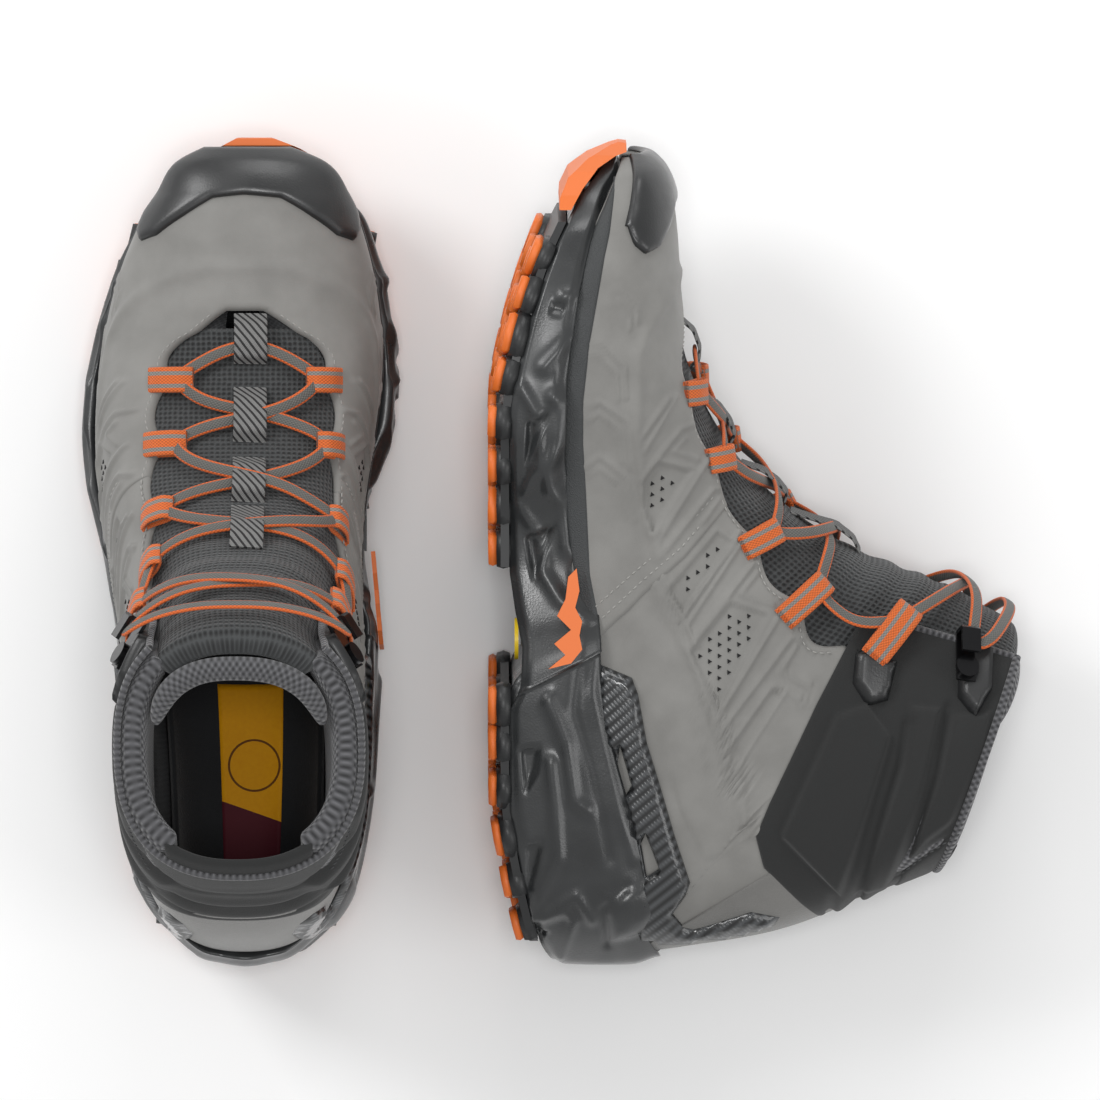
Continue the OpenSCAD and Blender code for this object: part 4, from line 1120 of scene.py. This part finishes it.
def patch_piece(name, outline, holes, low, high, finish, replaced, radius=1.4, moves="boot"):
    """A closed layer in a shape drawn on the side view, on the inner and the outer side"""
    places, faces = side_patch(outline, holes)
    t, a = locate(places[:, 0], places[:, 1])
    parts = []
    high_at, _ = rounded(t, a, faces, low, high, radius, PATCH_SHARE)
    for side in (1, -1):
        points, skin, _ = closed_layer(on_last(t, a * side, high_at), on_last(t, a * side, low), faces)
        parts.append((points, skin))
    points, skin = joined(*parts)
    both_boots(name, points, skin, finish, replaced, moves)


def carbon_finish():
    """Carbon cloth in clear resin: diagonal twill of dark bundles that catch the light in turn, with that
    light put into the colour as a painted highlight on every other band
    """
    made, tree, shader, place = new_finish("carbon_twill", 0.28, Coat_Weight=0.6, Coat_Roughness=0.12)
    spin = add_node(tree, "Mapping", {"Rotation": (math.radians(40), 0, 0)}, {"Vector": place})
    strand = add_node(tree, "TexWave", {"Scale": 95.0, "Distortion": 0.0}, {"Vector": spin.outputs[0]},
                      bands_direction="Y")
    cross_strand = add_node(tree, "TexWave", {"Scale": 240.0, "Distortion": 0.0},
                            {"Vector": spin.outputs[0]}, bands_direction="Z")
    twill = add_node(tree, "Math", None, {0: strand.outputs["Fac"], 1: cross_strand.outputs["Fac"]},
                     operation="MULTIPLY")
    # painted highlight: alternate twill bands are coloured lighter where the bundles would catch the light
    colour_from(tree, shader, strand.outputs["Fac"], srgb(14, 15, 16), srgb(66, 68, 70))
    bump_from(tree, shader, twill.outputs[0], 0.5, 0.0003)
    return made


carbon = carbon_finish()
patch_piece("heel_clip", CLIP, CLIP_WINDOWS, 2.4, 5.6, carbon, ["heel_clip"])
counter_board = plain_finish("counter_board", srgb(168, 160, 140), srgb(190, 182, 162), 0.8, 700.0,
                             0.3, 0.0005)
keep_part("heel_counter", counter_board)
keep_part("insole_board", counter_board)


# ---- Perforations and stitching on the leather ------------------------------------------------
# Small triangular holes are punched through the pressed panels. Grey thread holds the vamp to
# the quarters along the seam, and binds the scalloped edges of the throat.
def panel_holes(outline, step, inset):
    """Places of holes on a slanted grid, inside an outline drawn on the side view"""
    corners = np.asarray(outline, float)
    low, high = corners.min(0), corners.max(0)
    z, y = np.meshgrid(np.arange(low[0], high[0], step * 0.86), np.arange(low[1], high[1] + step, step),
                       indexing="ij")
    y = y - (np.arange(z.shape[0]) % 2)[:, None] * step / 2
    z, y = z.ravel(), y.ravel()
    inside = depth_within(np.stack([0 * z, y, z], 1), outline) > inset
    return z[inside], y[inside]


# Black triangles on the panels stand in for the holes: painted shade inside each hole, over the black lining
# that shows through it
hole_black = plain_finish("hole_black", srgb(12, 12, 13), srgb(20, 20, 21), 0.9, 900.0, 0.1, 0.0002)
thread = plain_finish("thread", srgb(132, 131, 128), srgb(164, 163, 159), 0.7, 4000.0, 0.3, 0.0002)
places, outs, alongs = [], [], []
for outline, height in ((PANELS[0], 2.02), (PANELS[1], 1.5), (PANELS[2], 1.5)):
    z, y = panel_holes(outline, 4.0, 2.0)
    t, a = locate(z, y)
    for side in (1, -1):
        places.append(on_last(t, a * side, height))
        outs.append(outward(t, a * side, height))
        alongs.append(on_last(t - 0.03, a * side, height) - on_last(t + 0.03, a * side, height))
set_out("perforations", "hole", np.concatenate(places), np.concatenate(outs), np.concatenate(alongs),
        (1.9, 1.9, 0.5), hole_black)


def stitch_run(t, a, d, step):
    """Places, outward directions and thread directions, a step apart along a line on the last"""
    points = on_last(t, a, d)
    far = np.concatenate([[0], np.cumsum(np.linalg.norm(np.diff(points, axis=0), axis=1))])
    at = np.arange(step / 2, far[-1], step)
    tt, aa = np.interp(at, far, t), np.interp(at, far, a)
    return (on_last(tt, aa, d), outward(tt, aa, d),
            on_last(np.interp(at + 0.4, far, t), np.interp(at + 0.4, far, a), d)
            - on_last(np.interp(at - 0.4, far, t), np.interp(at - 0.4, far, a), d))


STITCH = 2.6                 # from one leather stitch to the next
runs = []
for side in (1, -1):
    t = np.linspace(4.35, 10.2, 700)
    runs.append(stitch_run(t, (throat(t, side) + 3.2) * side, 2.62, STITCH))
    a = np.linspace(52, 108, 200)
    t = section_where(a * side, seam_test, 4.4, 11) - 0.16
    runs.append(stitch_run(t, a * side, 2.66, STITCH))
    runs.append(stitch_run(t - 0.14, a * side, 2.7, STITCH))
places, outs, alongs = (np.concatenate([run[k] for run in runs]) for k in range(3))
set_out("leather_stitches", "bead", places, outs, alongs, (2.0, 0.6, 0.55), thread)


# ---- Inside: bootie lining, footbed and its label -------------------------------------------
# A thin knitted bootie lines the boot from toe to collar. A cloth-topped footbed lies loose in
# it, with an amber and maroon printed patch at the heel that carries no lettering.
def soft_layer(name, t, a, low, high, finish, replaced=(), moves="boot", radius=4.0, relief=None):
    """A padded layer: both faces are rounded towards the edges, as a stuffed panel's are"""
    rows, cols = t.shape
    faces = weave_grid(rows, cols)
    flat_t, flat_a = t.ravel(), a.ravel()
    curve, far = rounded(flat_t, flat_a, faces, 0.0, 1.0, radius, 0.0)
    low = np.broadcast_to(low, t.shape).ravel()
    high = np.broadcast_to(high, t.shape).ravel()
    half = (high - low) / 2 * (0.12 + 0.88 * curve)
    middle = (high + low) / 2
    outer = middle + half
    if relief is not None:
        outer = outer + relief(on_last(flat_t, flat_a), flat_t, flat_a) * ramp(far, 0.5, 4.0)
    cloth = cloth_map(t, a, 0)
    points, skin, used = closed_layer(on_last(flat_t, flat_a, outer),
                                      on_last(flat_t, flat_a, middle - half), faces)
    both_boots(name, points, skin, finish, replaced, moves, cloth[used])


def angle_at_x(t, x):
    """Angle round section t at which the top of the boot is x from its centre line"""
    return angle_where(t, lambda p: p[..., 0] - x, -89, 89)


# the darker colour is painted shade in the weave's hollows, the lighter one painted highlight on its crowns
lining_cloth = cloth_finish("lining_mesh", srgb(18, 19, 20), srgb(44, 45, 47), 0.85, 48.0, 48.0, 0.5,
                            0.0005, Sheen_Weight=0.2)
cols = np.linspace(4, 356, 120)
finish_t = np.minimum(section_where(cols, over_edge(10, 8, 8), 8, 15), 14.2)
lining_t = 0.6 + (finish_t - 0.6) * np.linspace(0, 1, 90)[:, None]
lining_a = np.broadcast_to(cols, lining_t.shape).copy()
layer_piece("bootie_lining", lining_t, lining_a, -2.3, -0.7, lining_cloth,
            ["bootie_lining"], moves="ankle", radius=1.0)

bed_t = np.linspace(1.1, 10.2, 70)
bed_a = evenly(bed_t, np.full(70, 126.0), np.full(70, 234.0), 40)
footbed_cloth = plain_finish("footbed_cloth", srgb(24, 25, 27), srgb(38, 39, 41), 0.9, 2400.0, 0.6,
                             0.0005, Sheen_Weight=0.25)
layer_piece("footbed", np.broadcast_to(bed_t[:, None], bed_a.shape).copy(), bed_a, -9.6, -6.4,
            footbed_cloth, ["footbed"], radius=1.6)


def label_finish():
    """Printed film: amber field with a thin darker ring, and a maroon end cut on a slant"""
    made, tree, shader, place = new_finish("label_film", 0.6, Specular_IOR_Level=0.12)
    apart = add_node(tree, "SeparateXYZ", None, {0: place})
    slant = add_node(tree, "Math", {1: 0.35, 2: 0.0}, {0: apart.outputs["X"]}, operation="MULTIPLY_ADD")
    level = add_node(tree, "Math", None, {0: apart.outputs["Y"], 1: slant.outputs[0]}, operation="ADD")
    end = add_node(tree, "Math", {1: 0.0560}, {0: level.outputs[0]}, operation="LESS_THAN")
    near = add_node(tree, "VectorMath", {1: (0.003, 0.072, 0.0)}, {0: place}, operation="SUBTRACT")
    flat = add_node(tree, "VectorMath", {1: (1, 1, 0)}, {0: near.outputs[0]}, operation="MULTIPLY")
    far = add_node(tree, "VectorMath", None, {0: flat.outputs[0]}, operation="LENGTH")
    off = add_node(tree, "Math", {1: 0.0092}, {0: far.outputs["Value"]}, operation="SUBTRACT")
    thin = add_node(tree, "Math", None, {0: off.outputs[0]}, operation="ABSOLUTE")
    ring = add_node(tree, "Math", {1: 0.0004}, {0: thin.outputs[0]}, operation="LESS_THAN")
    noise = add_node(tree, "TexNoise", {"Scale": 700.0, "Detail": 4.0}, {"Vector": place})
    amber = add_node(tree, "Mix", {6: srgb(228, 152, 8), 7: srgb(242, 172, 16)},
                     {0: noise.outputs["Fac"]}, data_type="RGBA")
    ringed = add_node(tree, "Mix", {7: srgb(110, 66, 16)}, {0: ring.outputs[0], 6: amber.outputs[2]},
                      data_type="RGBA")
    maroon = add_node(tree, "Mix", {7: srgb(86, 28, 38)}, {0: end.outputs[0], 6: ringed.outputs[2]},
                      data_type="RGBA")
    tree.links.new(maroon.outputs[2], shader.inputs["Base Color"])
    bump_from(tree, shader, noise.outputs["Fac"], 0.2, 0.0003)
    return made


label_t = np.linspace(8.35, 9.95, 30)
label_a = evenly(label_t, np.full(30, 162.0), np.full(30, 191.0), 14)
layer_piece("footbed_label", np.broadcast_to(label_t[:, None], label_a.shape).copy(), label_a, -10.3,
            -9.7, label_finish(), ["footbed_label"], radius=0.6)


# ---- Tongue ---------------------------------------------------------------------------------
# Padded tongue in coarse dark mesh. It is sewn in at the toe end of the throat, runs up under
# the laces and over the ankle, and ends in a soft grey knitted lip.
def mesh_finish(name, dark, light, count, strength):
    """Coarse spacer mesh: round holes between thick threads, with painted shade in the holes"""
    made, tree, shader, place = new_finish(name, 0.8, Sheen_Weight=0.15)
    own = add_node(tree, "UVMap", uv_map="cloth")
    holes = add_node(tree, "TexVoronoi", {"Scale": count, "Randomness": 0.12}, {"Vector": own.outputs["UV"]})
    rim = add_node(tree, "MapRange", {1: 0.12, 2: 0.5}, {0: holes.outputs["Distance"]})
    # painted shade: the colour is darkest in the holes and lightest on the threads between them
    colour_from(tree, shader, rim.outputs[0], dark, light)
    bump_from(tree, shader, rim.outputs[0], strength, 0.001)
    return made


# the dark colour is painted shade in the mesh's holes
tongue_mesh = mesh_finish("tongue_mesh", srgb(14, 15, 16), srgb(58, 60, 61), 52.0, 0.7)
# the darker colour is painted shade in the knit's hollows, the lighter one painted highlight on its crowns
knit = cloth_finish("collar_knit", srgb(36, 36, 38), srgb(98, 98, 101), 0.85, 30.0, 42.0, 0.8, 0.0009,
                    Sheen_Weight=0.3)
tongue_t = np.linspace(4.55, 15.12, 190)
reach_in = lookup(tongue_t, [(4.5, 14), (4.8, 27), (5.3, 36), (6.3, 43), (7.8, 53), (9.2, 58), (10.4, 60),
                             (11.2, 52), (12.5, 46), (15.2, 44)])
reach_out = lookup(tongue_t, [(4.5, 12), (4.8, 22), (5.3, 29), (6.3, 31), (7.8, 38), (9.2, 49),
                              (10.4, 55), (11.2, 50), (12.5, 46), (15.2, 44)])
tongue_a = evenly(tongue_t, -reach_out, reach_in, 76)
tongue_tt = np.broadcast_to(tongue_t[:, None], tongue_a.shape)
across = np.linspace(-1, 1, 77)[None, :]
crown = (1 - across**2) * lookup(tongue_t, [(4.5, 0.3), (6, 1.3), (12, 1.5), (13, 0.8), (15, 0)])[:, None]
tongue_low = -1.7 - 8.5 * ramp(tongue_tt, 13.2, 14.6)
tongue_high = 0.2 + crown - 1.2 * ramp(tongue_tt, 12.0, 13.0)


def tongue_folds(p, t, a):
    """Soft cross folds where the tongue bends at the ankle"""
    return 0.5 * np.sin((t - 8) * 2 * np.pi / 0.9) * ramp(t, 8.2, 9) * (1 - ramp(t, 11.5, 12.5))


soft_layer("tongue", tongue_tt.copy(), tongue_a, tongue_low, tongue_high, tongue_mesh,
           ["tongue", "tongue_top"], moves="ankle", radius=3.0, relief=tongue_folds)


def swept(points, normals, half_width, half_height, sides=12, square=1.0):
    """Rings of a flat oval carried along a line of points, flat side along the normals"""
    points, normals = np.asarray(points, float), np.asarray(normals, float)
    run = np.gradient(points, axis=0)
    run /= np.linalg.norm(run, axis=1, keepdims=True)
    sideways = np.cross(run, normals)
    sideways /= np.linalg.norm(sideways, axis=1, keepdims=True)
    up = np.cross(sideways, run)
    half_width = np.broadcast_to(half_width, len(points))[:, None, None]
    half_height = np.broadcast_to(half_height, len(points))[:, None, None]
    angle = np.linspace(0, 2 * np.pi, sides, endpoint=False)
    c, s = np.cos(angle), np.sin(angle)
    c, s = np.sign(c) * np.abs(c) ** square, np.sign(s) * np.abs(s) ** square
    rings = (points[:, None] + sideways[:, None] * (half_width * c[None, :, None])
             + up[:, None] * (half_height * s[None, :, None]))
    far = np.concatenate([[0], np.cumsum(np.linalg.norm(np.diff(points, axis=0), axis=1))])
    cloth = np.stack([np.broadcast_to(c[None], rings.shape[:2]) * half_width[..., 0],
                      np.broadcast_to(far[:, None], rings.shape[:2])], -1)
    return rings.reshape(-1, 3), faces_out(rings.reshape(-1, 3), capped_tube(rings)), cloth.reshape(-1, 2)


def smooth_line(points, times):
    """Rounds the corners of a line of points, with its ends kept"""
    points = np.array(points, float)
    for _ in range(times):
        points[1:-1] = 0.25 * points[:-2] + 0.5 * points[1:-1] + 0.25 * points[2:]
    return points


def route_line(keys, steps, times):
    """Points and outward directions along a route of [section, angle, distance] keys"""
    keys = np.asarray(keys, float)
    f = np.arange(0, len(keys) - 1 + 1e-9, 1 / steps)
    tad = np.stack([np.interp(f, np.arange(len(keys)), keys[:, k]) for k in range(3)], 1)
    points = smooth_line(on_last(tad[:, 0], tad[:, 1], tad[:, 2]), times)
    normals = smooth_line(outward(tad[:, 0], tad[:, 1], tad[:, 2]), times + 4)
    return points, normals / np.linalg.norm(normals, axis=1, keepdims=True)


def cord_piece(name, lines, half_width, half_height, finish, replaced, moves, bend=None,
               sides=12, square=1.0):
    """One piece made of flat-oval strands along several routes"""
    points, faces, cloth, shift = [], [], [], 0
    for line, normals in lines:
        p, f, c = swept(line, normals, half_width, half_height, sides, square)
        points.append(p)
        cloth.append(c)
        faces += [[k + shift for k in face] for face in f]
        shift += len(p)
    both_boots(name, np.concatenate(points), faces, finish, replaced, moves,
               np.concatenate(cloth), bend)


lip_a = np.linspace(-78, 78, 70)
lip_d = -10.0 - 3.5 * np.cos(np.radians(lip_a)) ** 2
lip = on_last(np.full(70, 15.12) - 0.25 * (np.abs(lip_a) / 78) ** 3, lip_a, lip_d)
up_leg = np.broadcast_to(np.array([0.0, -0.30, 0.95]), lip.shape)
taper = np.sqrt(np.clip(1 - (np.abs(lip_a) / 79) ** 5, 0.02, 1))
cord_piece("tongue_lip", [(smooth_line(lip, 6), up_leg)], 4.4 * taper, 3.8 * taper, knit,
           [], "cuff")


# ---- Lacing: keepers, loops and lace ---------------------------------------------------------
# Striped webbing keepers are sewn down the middle of the tongue, and orange-barred loops to
# the leather. One flat lace runs up through them to the ankle loops and round the two hooks.
def striped_finish():
    """Grey webbing with black diagonal stripes woven in"""
    made, tree, shader, place = new_finish("striped_webbing", 0.75)
    own = add_node(tree, "UVMap", uv_map="cloth")
    apart = add_node(tree, "SeparateXYZ", None, {0: own.outputs["UV"]})
    rise = add_node(tree, "Math", {1: 0.8}, {0: apart.outputs["Y"]}, operation="MULTIPLY")
    slope = add_node(tree, "Math", None, {0: apart.outputs["X"], 1: rise.outputs[0]}, operation="ADD")
    turns = add_node(tree, "Math", {1: 36.0}, {0: slope.outputs[0]}, operation="MULTIPLY")
    part = add_node(tree, "Math", None, {0: turns.outputs[0]}, operation="FRACT")
    stripe = add_node(tree, "Math", {1: 0.62}, {0: part.outputs[0]}, operation="GREATER_THAN")
    woven = use_group(tree, weave, own.outputs["UV"], Across=110.0, Along=110.0)
    colour_from(tree, shader, stripe.outputs[0], srgb(112, 112, 111), srgb(24, 24, 25))
    bump_from(tree, shader, woven.outputs["Height"], 0.4, 0.0004)
    return made


def barred_finish(name, ground, bar, bars, duty):
    """Webbing or lace with bars of another colour across it and ribs of its own weave, with painted shade in
    the hollows and painted highlight on the ribs
    """
    made, tree, shader, place = new_finish(name, 0.7, Sheen_Weight=0.1)
    own = add_node(tree, "UVMap", uv_map="cloth")
    apart = add_node(tree, "SeparateXYZ", None, {0: own.outputs["UV"]})
    turns = add_node(tree, "Math", {1: bars}, {0: apart.outputs["X"]}, operation="MULTIPLY")
    shift = add_node(tree, "Math", {1: 0.5}, {0: turns.outputs[0]}, operation="ADD")
    part = add_node(tree, "Math", None, {0: shift.outputs[0]}, operation="FRACT")
    off = add_node(tree, "Math", {1: 0.5}, {0: part.outputs[0]}, operation="SUBTRACT")
    size = add_node(tree, "Math", None, {0: off.outputs[0]}, operation="ABSOLUTE")
    mask = add_node(tree, "Math", {1: duty}, {0: size.outputs[0]}, operation="GREATER_THAN")
    woven = use_group(tree, weave, own.outputs["UV"], Across=90.0, Along=70.0)
    # painted shade and highlight: the colour is scaled from 0.55 in the weave's hollows to 1.1 on its ribs
    shade = add_node(tree, "Mix", {6: (0.55, 0.55, 0.55, 1), 7: (1.1, 1.1, 1.1, 1)},
                     {0: woven.outputs["Height"]}, data_type="RGBA")
    two = add_node(tree, "Mix", {6: ground, 7: bar}, {0: mask.outputs[0]}, data_type="RGBA")
    shaded = add_node(tree, "Mix", {0: 1.0}, {6: two.outputs[2], 7: shade.outputs[2]}, data_type="RGBA",
                      blend_type="MULTIPLY")
    tree.links.new(shaded.outputs[2], shader.inputs["Base Color"])
    bump_from(tree, shader, woven.outputs["Height"], 0.6, 0.0005)
    return made


def flat_strip(keys, x, steps=10, times=4):
    """Line of a webbing strip up the middle of the tongue, at x from the centre line"""
    keys = np.asarray(keys, float)
    f = np.linspace(0, len(keys) - 1, steps * (len(keys) - 1) + 1)
    t, d = (np.interp(f, np.arange(len(keys)), keys[:, k]) for k in (0, 1))
    a = angle_at_x(t, np.full(len(t), x))
    points = smooth_line(on_last(t, a, d), times)
    return points, outward(t, a, d)


KEEPERS = [[(4.35, 1.6), (4.5, 5.6), (4.75, 6.8), (4.95, 5.4), (5.05, 1.6)],
           [(5.42, 1.6), (5.6, 6.4), (5.85, 7.6), (6.1, 6.4), (6.28, 1.6)],
           [(6.6, 1.6), (6.8, 6.8), (7.1, 8.0), (7.4, 6.8), (7.6, 1.6)],
           [(7.75, 1.8), (8.0, 4.0), (8.5, 7.6), (9.0, 6.0), (9.3, 2.4)]]
cord_piece("lace_keepers", [flat_strip(keys, 2.5) for keys in KEEPERS], 6.0, 0.5, striped_finish(),
           ["lace_keepers"], "boot", sides=16, square=0.35)

orange_bars = barred_finish("loop_webbing", srgb(216, 102, 34), srgb(134, 130, 125), 22.0, 0.34)
LOOPS_IN = [(5.3, 29), (6.33, 36), (7.8, 47), (9.1, 52)]
LOOPS_OUT = [(5.3, -22), (6.33, -23), (7.8, -30), (9.1, -41)]


def loop_line(t, a, base, lift):
    """Line of a webbing loop: out over the leather's edge, round the lace and back"""
    s = 1 if a > 0 else -1
    per = 57.3 / 42 * 1.25                     # degrees of angle for a millimetre, near enough
    wrap = [(5, base), (1, base + 0.3), (-4, base + 0.6), (-7, base + lift * 0.5), (-4.5, base + lift),
            (0.5, base + lift * 0.75), (4.5, base + 1.1)]
    return route_line([(t, a + s * x * per, d) for x, d in wrap], 6, 3)


loops = [loop_line(t, a, 2.5, 4.8) for t, a in LOOPS_IN + LOOPS_OUT]
cord_piece("lace_loops", loops, 4.6, 0.55, orange_bars, ["lace_loops"], "boot",
           sides=12, square=0.4)
ankle = [loop_line(11, 50, 6.2, 4.8), loop_line(11, -50, 6.2, 4.8)]
cord_piece("ankle_loops", ankle, 5.2, 0.6, orange_bars, ["ankle_loops"], "cuff",
           sides=12, square=0.4)

LOW, HIGH = 4.6, 7.0         # distance of a strand from the boot, and of one that crosses over it
LACE_ROUTE = [
    (11, 45, 9.2), (10.1, 50, 7.0), (9.1, 47, 5.2), (8.8, 30, LOW), (8.5, 6, LOW), (8.2, -12, LOW),
    (7.8, -25, 5.2), (7.5, -14, LOW), (7.1, 2, LOW), (6.7, 22, LOW), (6.33, 32, 5.2), (6.1, 22, LOW),
    (5.85, 5, LOW), (5.6, -8, LOW), (5.3, -17, 5.2), (5.05, -9, LOW), (4.75, 1, LOW),
    (5.05, 14, LOW), (5.3, 24, 5.2), (5.6, 14, HIGH - 1), (5.85, 2, HIGH - 1), (6.1, -9, LOW),
    (6.33, -17, 5.2), (6.7, -10, HIGH), (7.1, 3, HIGH), (7.5, 22, LOW), (7.8, 42, 5.2), (8.2, 26, HIGH),
    (8.5, 4, HIGH), (8.8, -16, LOW), (9.1, -36, 5.2), (10.1, -44, 7.0), (11, -45, 9.2)]
TOP_ROUTE = [
    (11, 45, 9.2), (11.5, 28, 7.2), (12.0, 4, 5.0), (12.4, -22, 7.5), (12.75, -44, 10.6),
    (13.1, -48, 10.9), (13.4, -42, 10.0), (13.6, -20, 5.8), (13.68, 0, 4.6), (13.6, 20, 5.8),
    (13.4, 42, 10.0), (13.1, 48, 10.9), (12.75, 44, 10.6), (12.4, 22, 9.0), (12.0, -2, 7.4),
    (11.5, -28, 8.0), (11, -45, 9.2)]
lace_cord = barred_finish("lace_cord", srgb(98, 97, 93), srgb(212, 96, 28), 22.0, 0.36)
lines = [route_line(LACE_ROUTE, 9, 12), route_line(TOP_ROUTE, 9, 12)]
cord_piece("lace", lines, 2.35, 0.85, lace_cord, ["lace", "top_lace"], "ankle",
           bend={"start": (0, 100, 120), "end": (0, 104, 137)}, sides=12, square=0.8)


# ---- Cuff and collar -------------------------------------------------------------------------
# Black stretch fabric over foam, with raised pads at the ankle and bellows behind it. The collar
# inside is lined with thick grey knit that rolls over the top edge.
PAD_ONE = [(135.4, 99.7), (123.8, 95.5), (105.3, 53), (129.4, 30.8), (144.1, 83.5), (145.1, 88.1)]
PAD_TWO = [(150, 99), (163, 98), (158, 72), (147, 34), (133, 30), (147.5, 77)]
PAD_THREE = [(166, 96), (181, 97), (179, 82), (173, 62), (160, 52), (150.5, 41), (160.5, 72)]
FOLDS = [([(150.6, 92), (148.5, 78), (142, 55), (134.9, 28)], 1.5, 2.0),
         ([(165, 98), (162, 75), (154, 50), (146.9, 33)], 1.3, 1.8),
         ([(173.7, 57.6), (159.9, 48.4), (149.7, 40), (146.9, 29.9)], 1.0, 1.4)]


def cuff_relief(p, t, a):
    """Raised pads with soft sides, grooves between them, and bellows behind the heel"""
    height = np.zeros(len(p))
    for outline, amount in ((PAD_ONE, 3.0), (PAD_TWO, 2.4), (PAD_THREE, 2.0)):
        height += amount * ramp(depth_within(p, outline), -0.4, 2.8)
    for line, amount, width in FOLDS:
        height -= 1.25 * amount * np.exp(-(from_line(p, line) / width) ** 2)
    height *= np.where(p[:, 0] < 0, 0.78, 1.0)          # the lying boot rests on this side
    rear = 1 - ramp(p[:, 1], 22, 36)
    bellows = np.sin((p[:, 2] - 118) * 2 * np.pi / 9.5)
    height += 1.4 * bellows * rear * ramp(p[:, 2], 120, 126) * (1 - ramp(p[:, 2], 152, 160))
    return height


cuff_cloth = plain_finish("cuff_cloth", srgb(17, 18, 18), srgb(28, 29, 29), 0.85, 3000.0, 0.45, 0.0003,
                          roughen=0.3, Sheen_Weight=0.12, Sheen_Roughness=0.6)
cuff_test = lambda p: p[..., 2] - lookup(p[..., 1], CUFF_EDGE)
cols = evenly(np.array([12.6]), np.array([41.0]), np.array([319.0]), 230)[0]
start_t = section_where(np.where(cols > 180, 360 - cols, cols), cuff_test, 9, 14)
cuff_t = start_t + (14.82 - start_t) * np.linspace(0, 1, 90)[:, None]
cuff_a = np.broadcast_to(cols, cuff_t.shape).copy()
soft_layer("cuff", cuff_t, cuff_a, 1.6, 3.4, cuff_cloth, ["cuff"], moves="cuff",
           radius=3.0, relief=cuff_relief)

inner_t = np.maximum(start_t + 0.3, 12.2)
collar_t = inner_t + (15.1 - inner_t) * np.linspace(0, 1, 60)[:, None]
collar_a = np.broadcast_to(cols, collar_t.shape).copy()
around = np.minimum(cols, 360 - cols)       # 41 at the front edges, 180 behind
for name, part, finish, node in (("collar_pad", around < 147, knit, ["collar_pad"]),
                                 ("collar_heel", around > 143, cuff_cloth, [])):
    runs = [part & (cols < 180), part & (cols > 180)] if name == "collar_pad" else [part]
    for k, run in enumerate(runs):
        label = name if k == 0 else name + "_outer"
        low = -7.5 if name == "collar_pad" else -3.6
        high = 0.6 + 2.0 * ramp(collar_t[:, run], 13.2, 14.7)
        soft_layer(label, collar_t[:, run], collar_a[:, run], low, high, finish,
                   node if k == 0 else [],
                   moves="cuff", radius=6.5)

trim_t = np.full(len(cols), 14.86)
trim = on_last(trim_t, cols, 3.0)
cord_piece("cuff_trim", [(smooth_line(trim, 2), outward(trim_t, cols, 3.0))], 1.5, 1.3, knit,
           [], "cuff")
front_edge = np.linspace(0, 1, 70)
for name, side in (("front_trim", 1), ("front_trim_outer", -1)):
    edge_t = 11.05 + (14.8 - 11.05) * front_edge
    edge_a = np.full(70, 41.6 * side)
    cord_piece(name, [(on_last(edge_t, edge_a, 2.8), outward(edge_t, edge_a, 2.8))], 1.4, 1.3, knit,
               [], "cuff")

# Moulded patches on the cuff carry the ankle loops and the hooks
patch_rubber = moulded_finish("patch_rubber", srgb(18, 19, 20), srgb(28, 29, 30), 0.42, 0.2)
patch_piece("loop_patch", [(131, 118), (146, 113), (143, 100), (135.5, 98), (130, 106)], [], 2.4, 6.4,
            patch_rubber, [], radius=2.4, moves="cuff")
patch_piece("hook_patch", [(168, 119.5), (180, 117.5), (180.5, 104), (174.5, 94), (168, 101)], [], 2.4,
            7.0, patch_rubber, [], radius=2.0, moves="cuff")

BACK_SEAM = np.array([(171, 56), (159.9, 48.4), (151.5, 41.5), (149.7, 40)])
z, y = (np.interp(np.linspace(0, 3, 60), range(4), BACK_SEAM[:, k]) for k in (0, 1))
t, a = locate(z, y)
runs = [stitch_run(t, a * side, 4.9, 2.8) for side in (1, -1)]
places, outs, alongs = (np.concatenate([run[k] for run in runs]) for k in range(3))
dark_thread = plain_finish("dark_thread", srgb(52, 53, 54), srgb(78, 79, 80), 0.7, 4000.0, 0.3, 0.0002)
set_out("cuff_stitches", "bead", places, outs, alongs, (2.1, 0.6, 0.55), dark_thread,
        moves="cuff")

black_metal = plain_finish("black_metal", srgb(22, 22, 24), srgb(34, 34, 36), 0.32, 1200.0, 0.1, 0.0002,
                           Metallic=0.85, Coat_Weight=0.3)
keep_part("lace_hooks", black_metal)


# ---- Arch: badge and insert --------------------------------------------------------------------
# A plain yellow disc and a jagged orange strip are moulded into the inner waist of the sole.
badge_yellow = plain_finish("badge_yellow", srgb(226, 190, 26), srgb(242, 208, 40), 0.4, 1200.0, 0.15,
                            0.0002)
keep_part("arch_badge", badge_yellow)
keep_part("arch_insert", orange_rubber)
